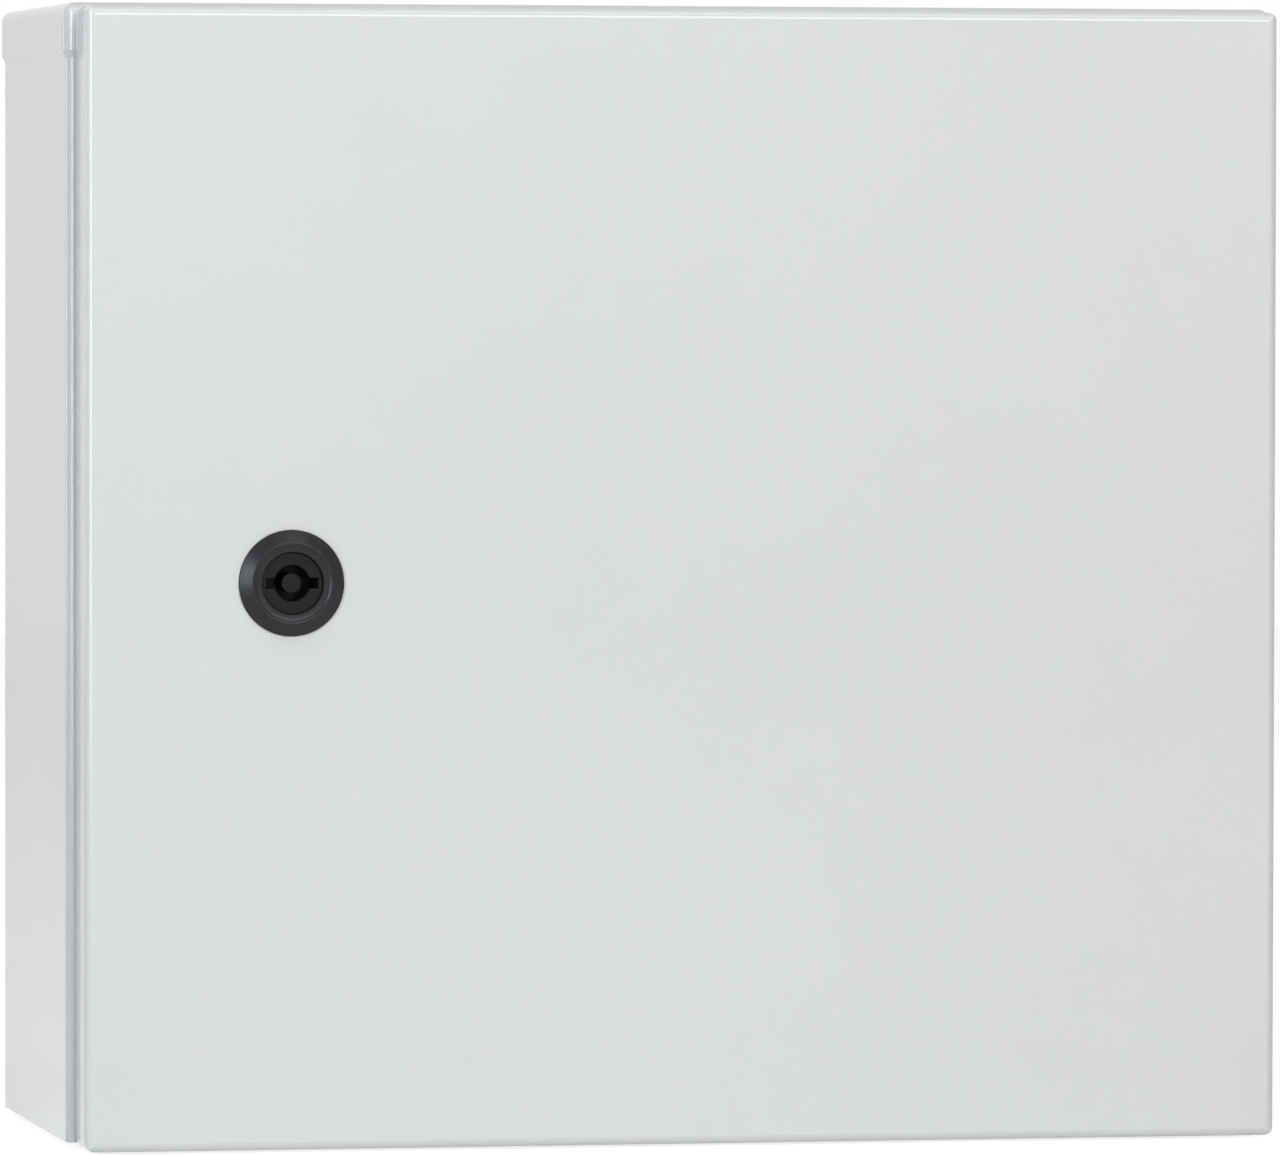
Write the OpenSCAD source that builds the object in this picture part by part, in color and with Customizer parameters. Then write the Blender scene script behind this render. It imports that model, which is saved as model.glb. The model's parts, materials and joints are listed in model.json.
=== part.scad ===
// Wall cabinet of a conventional fire alarm control panel.
// X runs to the right, the door faces -Y, Z runs up. The origin is the centre of the four
// wall fixing holes, on the outer face of the back panel.

/* [Cabinet body] */
// Width over the side walls
cab_w = 325; // [320:1:420]
// Height over the top cap, which is the door's height too
cab_h = 300; // [295:1:400]
// Depth from the wall to the face of the front flanges
cab_d = 120; // [116:1:200]
// Thickness of the body and door sheet
sheet = 1.5; // [1.2:0.1:2]
// Outer radius of the bent edges
bend_r = 2.5; // [2.2:0.1:3.5]
// Width of the flange round the door opening
flange_w = 16.5; // [15:0.5:18]
// Height of the rain lip that stands round the opening
lip_h = 11; // [8:0.5:12]

/* [Top cap] */
// Thickness of the roof sheet, which stands proud of the side walls
cap_t = 1; // [0.8:0.1:1.2]
// Height of the roof's skirt
cap_skirt = 12.5; // [11:0.5:13]
// Height of the ramp that carries the walls out to the roof's skirt
ramp_h = 2; // [1:0.5:3]

/* [Wall fixing] */
// Distance between the wall fixing holes, across
wall_hole_pitch_x = 284; // [276:1:290]
// Distance between the wall fixing holes, up
wall_hole_pitch_z = 254; // [250:1:260]
// Diameter of a wall fixing hole
wall_hole_d = 7; // [5:0.5:9]

/* [Cable entries] */
// Width of the opening in the floor
entry_w = 180; // [160:1:200]
// Depth of the opening in the floor
entry_d = 62; // [56:1:70]
// How far the gland plate laps over the floor, each side
entry_lap = 12; // [10:0.5:15]
// Thickness of the gland plate's gasket
entry_gasket_t = 2; // [1:0.5:3]
// Diameter of a cable entry hole
gland_d = 20.5; // [16:0.5:22]
// Distance between cable entries
gland_pitch = 33; // [30:0.5:36]
// Thickness of a membrane grommet's rim
grommet_rim = 2; // [1:0.5:3]

/* [Door] */
// How far the door hangs below the body, at the top and at the bottom alike
door_drop = 1.2; // [0.8:0.1:1.5]
// How far the door's edge stays inside the side wall
door_inset = 2; // [1.6:0.1:2.4]
// Depth of the door pan
door_d = 17; // [16:0.5:19]
// Gap between the door's edge and the body's flange
door_gap = 3; // [2.6:0.1:4]
// Radius of the door's corners, seen from the front
door_corner_r = 3; // [2:0.5:5]
// Width of the foam gasket
gasket_w = 8.5; // [6:0.5:10]

/* [Hinges] */
// Distance from the door's outer edge to the hinge axis
pin_inset = 4.5; // [4.2:0.1:4.8]
// Distance from the hinge axis to the body's flange
pin_reach = 9.5; // [9.3:0.1:10.5]
// Diameter of a hinge pin
pin_d = 3; // [2.4:0.1:3.2]
// Thickness of a hinge arm
arm_t = 2.5; // [2:0.5:3]
// Length of a hinge arm's foot
foot_w = 26; // [24:1:30]
// Thickness of a hinge arm's foot
foot_t = 2; // [1.5:0.5:2]
// Height of a hinge arm's foot
foot_h = 9; // [8:0.5:10]

/* [Lock] */
// Distance from the door's free edge to the lock's axis
lock_from_edge = 54.5; // [50:0.5:58]
// How far the lock's axis lies below the middle of the door
lock_drop = 1; // [0:0.5:10]
// Diameter of the lock's bezel
bezel_d = 28; // [26:0.5:30]
// Height of the bezel above the door
bezel_h = 3.2; // [2.5:0.1:4]
// Diameter of the ring inside the bezel's cone
face_d = 20; // [18:0.5:21]
// Diameter of the threaded barrel
barrel_d = 22; // [21:0.5:23]
// Width over the barrel's two flats
barrel_flats = 20; // [19:0.5:20.5]
// Diameter of the turning core
core_d = 16.1; // [15:0.1:17]
// Diameter of the key hole
key_hole_d = 9.7; // [8:0.1:10]
// Diameter of the pin in the key hole
key_pin_d = 5; // [4:0.1:6]
// Length over the two wing slots
key_wing_l = 14; // [12:0.1:14.5]
// Width of a wing slot
key_wing_w = 2.9; // [2.5:0.1:3.5]
// Depth of the key hole below the core's face
key_depth = 13; // [10:0.5:15]
// Width across the flats of the barrel's nut
lock_nut_af = 27; // [26:0.5:30]
// Thickness of the barrel's nut
lock_nut_t = 5; // [3:0.5:6]
// Distance from the lock's axis to the cam's tip
cam_l = 47; // [46:0.5:49]
// Width of the cam at its tip
cam_w = 14; // [10:0.5:16]
// Thickness of the cam
cam_t = 3; // [2:0.5:4]
// Space between the cam and the back of the flange
cam_gap = 0.8; // [0.5:0.1:1.2]

/* [Mounting plate] */
// Distance from the mounting plate's edge to the devices on it
edge_gap = 4; // [3:0.5:8]
// Gap between neighbouring devices
device_gap = 5; // [3:0.5:8]
// Distance from the back panel to the mounting plate
plate_stand = 10; // [8:0.5:12]
// Thickness of the mounting plate
plate_t = 1.5; // [1:0.5:2]
// Distance from the plate's edge to a stud's axis
stud_inset = 8; // [7:0.5:9]
// Diameter of the studs
stud_d = 6; // [5:0.5:6]

/* [Battery] */
// Width of the battery
batt_w = 151; // [140:1:152]
// Height of the battery
batt_h = 94; // [85:1:98]
// Depth of the battery
batt_d = 65; // [50:1:66]
// Thickness of the battery tray's sheet
tray_t = 1.2; // [1:0.1:1.5]
// Height of the battery tray's rim
tray_rim = 14; // [8:0.5:20]
// Height of the band that holds the battery
band_h = 18; // [12:0.5:24]

/* [Power supply] */
// Width of the power supply
psu_w = 98; // [80:1:100]
// Height of the power supply
psu_h = 84; // [76:1:90]
// Depth of the power supply
psu_d = 34; // [28:1:45]

/* [Control board] */
// Width of the control board
board_w = 190; // [180:1:192]
// Height of the control board
board_h = 108; // [100:1:112]
// Thickness of the circuit boards
board_t = 1.6; // [1:0.1:2]
// Length of the control board's standoffs
board_stand = 10; // [6:0.5:12]
// Number of ways in a terminal block
block_ways = 8; // [6:1:8]
// Distance between the ways of a terminal block
block_pitch = 5; // [4.5:0.1:5]

/* [Operator panel] */
// Width of the operator panel
fascia_w = 128; // [124:1:134]
// Height of the operator panel
fascia_h = 74; // [72:1:78]
// Thickness of the operator panel
fascia_t = 2; // [1.5:0.5:3]
// Height of the operator panel's board above the control board
panel_rise = 30; // [28:1:40]
// Space between the operator panel and its board
panel_space = 9; // [8:0.5:12]
// Diameter of a push button
button_d = 10; // [8:0.5:11]
// How far a push button stands out of the panel
button_proud = 2; // [1.5:0.5:3]
// Travel of a push button
button_travel = 1; // [0.5:0.1:1.2]
// Distance between push buttons
button_pitch = 26; // [22:1:26]
// Width of the display's window
display_w = 62; // [50:1:66]
// Height of the display's window
display_h = 17; // [12:0.5:18]
// Diameter of an indicator lamp
led_d = 3; // [2:0.5:4]

/* [Rail devices] */
// Length of the rail
rail_l = 62; // [60:1:62]
// Height of the rail's section
rail_h = 35; // [35]
// Depth of the rail's section
rail_d = 7.5; // [7.5]
// Thickness of the rail
rail_t = 1; // [0.8:0.1:1.2]
// Height of the circuit breaker
breaker_h = 84; // [80:1:90]
// Width of the circuit breaker
breaker_w = 17.6; // [17:0.1:18]
// Depth of the circuit breaker in front of the rail
breaker_d = 62; // [55:1:70]
// Width of one rail terminal
rail_terminal_w = 5.2; // [4:0.1:5.2]
// Number of rail terminals
rail_terminals_n = 5; // [3:1:5]
// Swing of the breaker's toggle
toggle_swing = 56; // [40:1:60]

/* [Tamper switch] */
// Height of the tamper switch above the middle of the cabinet
tamper_z = -60; // [-90:1:-40]
// Width of the tamper switch
tamper_w = 11; // [9:0.5:12]
// Height of the tamper switch
tamper_h = 20; // [16:0.5:26]
// Depth of the tamper switch
tamper_d = 15; // [12:0.5:18]
// Diameter of the tamper switch's plunger
plunger_d = 4; // [3:0.5:5]

/* [Hidden] */

$fn = 48;
EPS = 0.01;

// Clearances
fit_gap = 0.05;      // round a turning pin, on the radius
slip_gap = 0.25;     // round a sliding button, on the radius
rest_gap = 0.3;      // between parts that almost touch
hole_gap = 0.3;      // round a screw, on the radius
seal_gap = 0.4;      // between the rain lip and the door's gasket

// Body
roof_z = cab_h / 2 + door_drop;
base_z = -cab_h / 2 + door_drop;
shell_top = roof_z - bend_r;
skirt_end = roof_z - cap_skirt;
floor_z = base_z + sheet;
side_x = cab_w / 2 - sheet;
open_w = cab_w - 2 * flange_w;
open_h = cab_h - 2 * flange_w;
lip_corner_r = 5;

// Door
door_w = cab_w - 2 * door_inset;
door_h = cab_h;
door_back = -cab_d - door_gap;
door_front = door_back - door_d;
door_inner = door_front + sheet;

// Hinge axis
pin_x = door_w / 2 - pin_inset;
pin_y = -cab_d - pin_reach;
pin_r = pin_d / 2;
eye_r = pin_inset - sheet - rest_gap;
// Radius that the door's inner edge sweeps round the hinge axis
edge_sweep = norm([pin_inset, pin_reach - door_gap]);
// Gap between a hinge arm and the door's flange, so that the eye clears the pan's round corner
corner_in = door_corner_r - sheet;
eye_play = rest_gap - 0.1;
arm_gap = max(0.4, corner_in - sqrt(pow(corner_in, 2) - pow(corner_in - eye_play, 2)) + 0.05);
arm_z = door_h / 2 - sheet - arm_gap;
clip_t = 0.6;
pin_head_h = 0.8;
pin_head_r = 2.7;

// Lock
lock_x = -door_w / 2 + lock_from_edge;
lock_z = -lock_drop;
core_r = core_d / 2 - 0.1;
core_sink = 1.7;     // from the top of the bezel down to the core's face
cam_front = -cab_d + sheet + cam_gap;
cam_back = cam_front + cam_t;
cam_seat_gap = 0.3;
spigot = 7;          // side of the square that drives the cam

// Mounting plate
tray_inner_w = batt_w + 2 * rest_gap;
tray_inner_d = batt_d + 2 * rest_gap;
tray_w = tray_inner_w + 2 * tray_t;
lower_row_w = tray_w + device_gap + psu_w;
upper_row_w = board_w + device_gap + rail_l;
plate_w = max(lower_row_w, upper_row_w) + 2 * edge_gap;
plate_h = 4 * stud_inset + tray_t + batt_h + device_gap + board_h;
plate_back = -sheet - plate_stand;
plate_front = plate_back - plate_t;
stud_x = plate_w / 2 - stud_inset;
stud_z = plate_h / 2 - stud_inset;

// Equipment on the mounting plate
batt_x = -plate_w / 2 + edge_gap + tray_w / 2;
tray_z = -plate_h / 2 + 2 * stud_inset;
batt_z = tray_z + tray_t + batt_h / 2;
batt_back = plate_front - tray_t - rest_gap;
psu_x = plate_w / 2 - edge_gap - psu_w / 2;
psu_z = tray_z + psu_h / 2;
board_x = -plate_w / 2 + edge_gap + board_w / 2;
board_z = plate_h / 2 - 2 * stud_inset - board_h / 2;
board_back = plate_front - board_stand;
board_front = board_back - board_t;
board_hole_inset = 4;

// Operator panel, in front of the control board's upper left part
panel_x = board_x - board_w / 2 + fascia_w / 2;
panel_z = board_z + board_h / 2 - fascia_h / 2;
panel_back = board_front - panel_rise;
panel_front = panel_back - board_t;
fascia_back = panel_front - panel_space;
fascia_front = fascia_back - fascia_t;
post_inset = 5;
post_r = 3;
button_z = panel_z - fascia_h / 2 + 17;
display_z = panel_z + fascia_h / 2 - 21;
display_x = panel_x - fascia_w / 2 + 16 + display_w / 2;

// Rail
rail_x = plate_w / 2 - edge_gap - rail_l / 2;
rail_z = plate_h / 2 - edge_gap - breaker_h / 2;
rail_front = plate_front - rail_d;
breaker_x = rail_x - rail_l / 2 + 8 + breaker_w / 2;
toggle_r = 7;
toggle_w = 8;
toggle_y = rail_front - breaker_d + toggle_r - 1;

// Tamper switch
tamper_x = open_w / 2 - 3 - tamper_w / 2;
tamper_front = -cab_d + sheet + 1;

// ---------- shapes that several parts use ----------

// Flat rectangle with round corners, centred.
module rounded_rect(w, h, r) {
    square([w - 2 * r, h], center = true);
    square([w, h - 2 * r], center = true);
    for (x = [-1, 1], y = [-1, 1]) translate([x * (w / 2 - r), y * (h / 2 - r)]) circle(r);
}

// Carries a drawing in X and Z along Y, from the nearer face back to the farther.
module along_y(front, back) {
    translate([0, back, 0]) rotate([90, 0, 0]) linear_extrude(back - front) children();
}

// Carries a drawing in Y and Z along X, centred.
module along_x(length) {
    rotate([90, 0, 90]) translate([0, 0, -length / 2]) linear_extrude(length) children();
}

// Round bar along Y.
module bar_y(r, front, back) {
    translate([0, back, 0]) rotate([90, 0, 0]) cylinder(r = r, h = back - front);
}

// Hexagonal bar along Y, by its width across the flats.
module hex_y(af, front, back) {
    translate([0, back, 0]) rotate([90, 0, 0]) cylinder(r = af / sqrt(3), h = back - front, $fn = 6);
}

// Block with its front face towards -Y, its three front edges bent and its corners round.
// The back is open ended at y = d.
module pan_block(w, h, d, bend, corner) {
    intersection() {
        along_y(0, d) rounded_rect(w, h, corner);
        translate([0, d, -h / 2]) linear_extrude(h) rounded_rect(w, 2 * d, bend);
        translate([0, d, 0]) along_x(w) rounded_rect(2 * d, h, bend);
    }
}

// Shallow pan of bent sheet, open towards +Y.
module pan(w, h, d, wall, bend, corner) {
    difference() {
        pan_block(w, h, d, bend, corner);
        translate([0, wall, 0])
            pan_block(w - 2 * wall, h - 2 * wall, d + wall, bend - wall, max(corner - wall, 0.4));
    }
}

// Pan-head screw that points to +Y, with its head's underside at y = 0.
module screw(r, length) {
    bar_y(r, -EPS, length);
    difference() {
        rotate([90, 0, 0]) intersection() {
            cylinder(r = 2 * r, h = 1.3 * r);
            translate([0, 0, -1.6 * r]) sphere(r = 2.9 * r);
        }
        for (a = [0, 90]) rotate([0, a, 0])
            translate([-1.2 * r, -2 * r, -0.25 * r]) cube([2.4 * r, 1.2 * r, 0.5 * r]);
    }
}

// ---------- cabinet body ----------

// Roof sheet with its skirt, as it sits on the shell.
module cap_form() {
    translate([0, -(cab_d + cap_t) / 2, roof_z]) rotate([-90, 0, 0])
        pan(cab_w + 2 * cap_t, cab_d + cap_t, cap_skirt, cap_t, bend_r + cap_t, bend_r + cap_t);
}

// Ramp that carries the side walls and the front flange out to the roof's skirt.
module skirt_ramp() {
    corner_x = cab_w / 2 - bend_r;
    back_y = -bend_r - cap_t;
    front_y = -cab_d + bend_r;
    z = skirt_end - ramp_h;
    difference() {
        union() {
            for (x = [-corner_x, corner_x], y = [back_y, front_y]) translate([x, y, z])
                cylinder(r1 = bend_r, r2 = bend_r + cap_t, h = ramp_h);
            along_y(front_y, back_y) polygon([
                [-cab_w / 2, z], [cab_w / 2, z],
                [cab_w / 2 + cap_t, skirt_end], [-cab_w / 2 - cap_t, skirt_end]]);
            along_x(2 * corner_x) polygon([
                [-cab_d, z], [back_y, z], [back_y, skirt_end], [-cab_d - cap_t, skirt_end]]);
        }
        translate([0, -cab_d / 2, z - 1]) linear_extrude(ramp_h + 2)
            rounded_rect(cab_w - 2 * sheet, cab_d - 2 * sheet, bend_r - sheet);
    }
}

// Back, sides and floor, with the front flanges and the rain lip round the opening.
module body_shell() {
    color([0.83, 0.84, 0.84]) difference() {
        union() {
            translate([0, -cab_d / 2, base_z]) linear_extrude(shell_top - base_z)
                difference() {
                    rounded_rect(cab_w, cab_d, bend_r);
                    rounded_rect(cab_w - 2 * sheet, cab_d - 2 * sheet, bend_r - sheet);
                }
            translate([0, -cab_d / 2, base_z]) linear_extrude(sheet)
                rounded_rect(cab_w, cab_d, bend_r);
            along_y(-cab_d - lip_h, -cab_d + sheet)
                rounded_rect(open_w + 2 * sheet, open_h + 2 * sheet, lip_corner_r + sheet);
            skirt_ramp();
        }
        along_y(-cab_d - lip_h - 1, -cab_d + 2 * sheet) rounded_rect(open_w, open_h, lip_corner_r);
        translate([-entry_w / 2, -cab_d / 2 - entry_d / 2, base_z - 1])
            cube([entry_w, entry_d, sheet + 2]);
        for (x = [-1, 1], z = [-1, 1])
            translate([x * wall_hole_pitch_x / 2, 0, z * wall_hole_pitch_z / 2])
                bar_y(wall_hole_d / 2, -2 * sheet, 1);
        at_hinge_rivets() bar_y(rivet_r, -3, 2 * sheet);
        at_gland_screws() translate([0, 0, -2 * sheet]) cylinder(r = gland_screw_r, h = 3 * sheet);
        cap_form();
        translate([-cab_w, -cap_t, skirt_end]) cube([2 * cab_w, 1 + cap_t, cap_skirt]);
    }
}

// Roof pan. The rivets of the upper hinge arm pass through its front skirt.
module top_cap() {
    color([0.84, 0.85, 0.85]) difference() {
        cap_form();
        at_hinge_rivets() bar_y(rivet_r, -3, 2 * sheet);
    }
}

// ---------- cable entries ----------

gland_screw_r = 1.75;
gland_outer_w = entry_w + 2 * entry_lap;
gland_outer_d = entry_d + 2 * entry_lap;
gland_z = floor_z + entry_gasket_t;
grommet_places = [-1, 0, 1];
gland_ways = 5;

// Places its children at the gland plate's screws, on the floor's upper face.
module at_gland_screws() {
    for (x = [-1, 0, 1], y = [-1, 1])
        translate([x * (gland_outer_w / 2 - entry_lap / 2),
                   -cab_d / 2 + y * (gland_outer_d / 2 - entry_lap / 2), floor_z]) children();
}

// Frame of foam between the floor and the gland plate.
module gland_gasket() {
    color([0.12, 0.12, 0.12]) difference() {
        translate([0, -cab_d / 2, floor_z]) linear_extrude(entry_gasket_t) difference() {
            rounded_rect(gland_outer_w, gland_outer_d, 3);
            square([entry_w, entry_d], center = true);
        }
        at_gland_screws() translate([0, 0, -1])
            cylinder(r = gland_screw_r + hole_gap, h = entry_gasket_t + 2);
    }
}

// Removable plate with the row of cable entries.
module gland_plate() {
    color([0.82, 0.83, 0.83]) difference() {
        translate([0, -cab_d / 2, gland_z]) linear_extrude(sheet)
            rounded_rect(gland_outer_w, gland_outer_d, 3);
        for (i = [0:gland_ways - 1])
            translate([(i - (gland_ways - 1) / 2) * gland_pitch, -cab_d / 2, gland_z - 1])
            cylinder(r = gland_d / 2, h = sheet + 2);
        at_gland_screws() cylinder(r = gland_screw_r + hole_gap, h = entry_gasket_t + 2 * sheet);
    }
}

// Screws that clamp the gland plate to the floor.
module gland_plate_screws() {
    color("silver") at_gland_screws() translate([0, 0, entry_gasket_t + sheet]) rotate([-90, 0, 0])
        screw(gland_screw_r, entry_gasket_t + 2 * sheet);
}

grommet_wall = 2;
// Membrane grommets in the middle entries.
module cable_grommets() {
    neck_r = gland_d / 2;
    color([0.1, 0.1, 0.11]) for (i = grommet_places)
        translate([i * gland_pitch, -cab_d / 2, gland_z]) rotate_extrude() union() {
            square([neck_r - grommet_wall, grommet_rim / 2]);
            translate([neck_r - grommet_wall, 0]) square([grommet_wall, sheet]);
            translate([neck_r - grommet_wall, sheet])
                square([grommet_wall + grommet_rim, grommet_rim]);
            translate([neck_r - grommet_wall, -grommet_rim])
                square([grommet_wall + grommet_rim / 2, grommet_rim]);
        }
}

// ---------- hinges ----------

rivet_r = 2;
rivet_head_h = 1.2;
// Left end of a foot, so that the arm's mouth stays clear of the door's swinging edge
foot_right = pin_x - edge_sweep - 1.1;
foot_left = foot_right - foot_w;

// Front face of what a hinge arm's foot stands on: the bare flange below, the skirt above.
function foot_seat(side) = side > 0 ? -cab_d - cap_t : -cab_d;

// Places its children on the seat of each rivet of the hinge arms.
module at_hinge_rivets() {
    for (side = [-1, 1], i = [0.2, 0.55])
        translate([foot_left + i * foot_w, foot_seat(side), side * (arm_z - foot_h * 0.55)])
            children();
}

// Goose-neck arms that reach from the body's flange round the door's edge to the pins.
module hinge_arms() {
    tongue_top = -0.3;
    tongue_w = 4.7;
    color([0.72, 0.73, 0.75]) for (side = [-1, 1]) {
        z0 = side > 0 ? arm_z - arm_t : -arm_z;
        zf = side > 0 ? arm_z - foot_h : -arm_z;
        difference() {
            union() {
                translate([0, 0, z0]) linear_extrude(arm_t) union() {
                    translate([foot_right - 7, pin_y + tongue_top - tongue_w])
                        square([7, foot_seat(side) - pin_y - tongue_top + tongue_w]);
                    translate([foot_right - 7, pin_y + tongue_top - tongue_w])
                        square([pin_x - foot_right + 7, tongue_w]);
                    translate([pin_x, pin_y]) circle(eye_r);
                    translate([pin_x, pin_y + tongue_top - tongue_w / 2]) circle(tongue_w / 2);
                }
                translate([foot_left, foot_seat(side) - foot_t, zf])
                    cube([foot_w, foot_t, foot_h]);
            }
            translate([pin_x, pin_y, z0 - 1]) cylinder(r = pin_r + fit_gap, h = arm_t + 2);
            at_hinge_rivets() bar_y(rivet_r, -2 * foot_t, EPS);
        }
    }
}

// Rivets through the arms' feet and the body's flange.
module hinge_rivets() {
    color("silver") at_hinge_rivets() {
        bar_y(rivet_r, -foot_t, sheet);
        translate([0, -foot_t, 0]) rotate([90, 0, 0]) intersection() {
            cylinder(r = 1.8 * rivet_r, h = rivet_head_h);
            translate([0, 0, -3]) sphere(r = 4.6);
        }
    }
}

// Pins with a groove for the clip inside. The lower one has a domed head outside the door, the
// upper one ends flush with the door's edge.
module hinge_pins() {
    shank = sheet + arm_gap + arm_t + rest_gap + clip_t + 1;
    dome_r = pin_head_h + 3.4;
    color([0.7, 0.71, 0.73]) for (side = [-1, 1])
        translate([pin_x, pin_y, side * door_h / 2]) mirror([0, 0, side > 0 ? 1 : 0])
            rotate_extrude() difference() {
                union() {
                    square([pin_r, shank]);
                    if (side < 0) intersection() {
                        translate([0, -pin_head_h]) square([pin_head_r, pin_head_h]);
                        translate([0, dome_r - pin_head_h]) circle(dome_r);
                    }
                }
                translate([pin_r - 0.4, shank - 1 - clip_t]) square([1, clip_t]);
            }
}

// Clips that hold the pins in the arms.
module hinge_clips() {
    color([0.35, 0.35, 0.36]) for (side = [-1, 1])
        translate([pin_x, pin_y, side * (arm_z - arm_t - rest_gap - clip_t / 2)])
            difference() {
                cylinder(r = pin_r + 1, h = clip_t, center = true);
                cylinder(r = pin_r - 0.4, h = clip_t + 1, center = true);
                translate([0, 3, 0]) cube([1.2, 6, clip_t + 1], center = true);
            }
}

// ---------- door ----------

// Door pan, with the hole for the lock's barrel and the holes for the hinge pins.
module door_panel() {
    color([0.86, 0.865, 0.865]) difference() {
        translate([0, door_front, 0]) pan(door_w, door_h, door_d, sheet, bend_r, door_corner_r);
        translate([lock_x, 0, lock_z]) barrel_form(door_front - 1, door_inner + 1, hole_gap / 2);
        for (side = [-1, 1]) translate([pin_x, pin_y, side * door_h / 2])
            cylinder(r = pin_r + fit_gap, h = 3 * sheet, center = true);
    }
}

// Foam gasket inside the door, facing the rain lip.
module door_gasket() {
    seal_w = open_w + sheet;
    seal_h = open_h + sheet;
    color([0.2, 0.2, 0.21]) along_y(door_inner, -cab_d - lip_h - seal_gap) difference() {
        rounded_rect(seal_w + gasket_w, seal_h + gasket_w, lip_corner_r + gasket_w / 2);
        rounded_rect(seal_w - gasket_w, seal_h - gasket_w, 2);
    }
}

earth_stud_l = 14;
// Threaded stud with a washer and a nut, along Y, from its root at y = 0 to -Y.
module earth_stud_set() {
    bar_y(stud_d / 2, -earth_stud_l, 0);
    difference() {
        union() {
            bar_y(stud_d, -2, -1);
            hex_y(1.7 * stud_d, -7, -2);
        }
        bar_y(stud_d / 2, -earth_stud_l - 1, 1);
    }
}

// Earth stud inside the door, near the lower hinge.
module door_earth_stud() {
    color([0.8, 0.68, 0.4]) translate([open_w / 2 - gasket_w - 12, door_inner, -open_h / 2 + gasket_w + 12])
        rotate([0, 0, 180]) earth_stud_set();
}

// ---------- lock ----------

// Barrel with its two flats, grown by a clearance.
module barrel_form(front, back, gap) {
    along_y(front, back) intersection() {
        circle(barrel_d / 2 + gap);
        square([barrel_d + 1, barrel_flats + 2 * gap], center = true);
    }
}

// Bezel and barrel in one, bored for the core.
module lock_housing() {
    rim = 0.7;
    seal_depth = 0.6;
    color([0.1, 0.1, 0.11]) translate([lock_x, 0, lock_z]) difference() {
        union() {
            barrel_form(door_front - EPS, cam_front - cam_seat_gap, 0);
            translate([0, door_front, 0]) rotate([90, 0, 0]) rotate_extrude() polygon([
                [0, 0], [bezel_d / 2, 0], [bezel_d / 2, rim],
                [face_d / 2 + 0.5, bezel_h], [face_d / 2, bezel_h],
                [face_d / 2 - 0.4, bezel_h - 0.5], [0, bezel_h - 0.5]
            ]);
        }
        bar_y(core_d / 2, door_front - bezel_h - 1, cam_front + 1);
        translate([0, door_front, 0]) rotate([90, 0, 0]) translate([0, 0, -EPS]) difference() {
            cylinder(r = seal_r, h = seal_depth + EPS);
            translate([0, 0, -1]) cylinder(r = barrel_d / 2, h = seal_depth + 2);
        }
    }
}

seal_r = barrel_d / 2 + 2;
// Flat rubber ring in the bezel's underside.
module lock_seal() {
    color([0.05, 0.05, 0.05]) translate([lock_x, 0, lock_z]) difference() {
        bar_y(seal_r - 0.1, door_front - 0.55, door_front);
        bar_y(barrel_d / 2 + 0.1, door_front - 1, door_front + 1);
    }
}

// Hexagonal nut that clamps the barrel to the door.
module lock_nut() {
    color([0.75, 0.76, 0.78]) translate([lock_x, 0, lock_z]) difference() {
        hex_y(lock_nut_af, door_inner, door_inner + lock_nut_t);
        barrel_bore();
    }
}

// Round hole that clears the barrel.
module barrel_bore() {
    bar_y(barrel_d / 2 + fit_gap, door_inner - 1, door_inner + lock_nut_t + 1);
}

// Turning core with the keyhole, its centre pin and the square that drives the cam.
module lock_core() {
    face = door_front - bezel_h + core_sink;
    pin_top = door_front;
    color([0.08, 0.08, 0.09]) translate([lock_x, 0, lock_z]) {
        difference() {
            union() {
                bar_y(core_r, face, cam_front);
                translate([-spigot / 2, cam_front - 1, -spigot / 2])
                    cube([spigot, cam_t + 1, spigot]);
            }
            bar_y(key_hole_d / 2, face - 1, face + key_depth);
            translate([-key_wing_l / 2, face - 1, -key_wing_w / 2])
                cube([key_wing_l, key_depth + 1, key_wing_w]);
            bar_y(cam_bolt_r, cam_front - 6, cam_back + 1);
        }
        bar_y(key_pin_d / 2, pin_top, face + key_depth + EPS);
    }
}

cam_bolt_r = 2.5;
cam_hub_r = 11;
// Flat cam, upright at rest, that turns behind the body's flange.
module lock_cam() {
    color([0.76, 0.77, 0.79]) translate([lock_x, 0, lock_z]) along_y(cam_front, cam_back)
        difference() {
            union() {
                circle(cam_hub_r);
                translate([-cam_w / 2, 0]) square([cam_w, cam_l - cam_w / 2]);
                translate([0, cam_l - cam_w / 2]) circle(cam_w / 2);
                polygon([[-cam_hub_r, 0], [cam_hub_r, 0], [cam_w / 2, cam_l * 0.6],
                         [-cam_w / 2, cam_l * 0.6]]);
            }
            square(spigot + 2 * fit_gap, center = true);
        }
}

// Bolt and washer that hold the cam on the core.
module lock_cam_screw() {
    color("silver") translate([lock_x, 0, lock_z]) {
        bar_y(cam_bolt_r, cam_front - 5.5, cam_back + 0.5);
        bar_y(7, cam_back, cam_back + 1.2);
        hex_y(8, cam_back + 1.2, cam_back + 4.7);
    }
}

// ---------- mounting plate ----------

// Places its children at the four studs.
module at_studs() {
    for (x = [-1, 1], z = [-1, 1]) translate([x * stud_x, 0, z * stud_z]) children();
}

spacer_r = 6;
nut_t = 5;
// Studs welded to the back panel.
module plate_studs() {
    color("silver") at_studs() bar_y(stud_d / 2, plate_front - nut_t - 3, -sheet);
}

// Sleeves that hold the plate off the back panel.
module plate_spacers() {
    color([0.7, 0.7, 0.72]) at_studs() difference() {
        bar_y(spacer_r, plate_back, -sheet);
        bar_y(stud_d / 2 + fit_gap, plate_back - 1, 1);
    }
}

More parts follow.
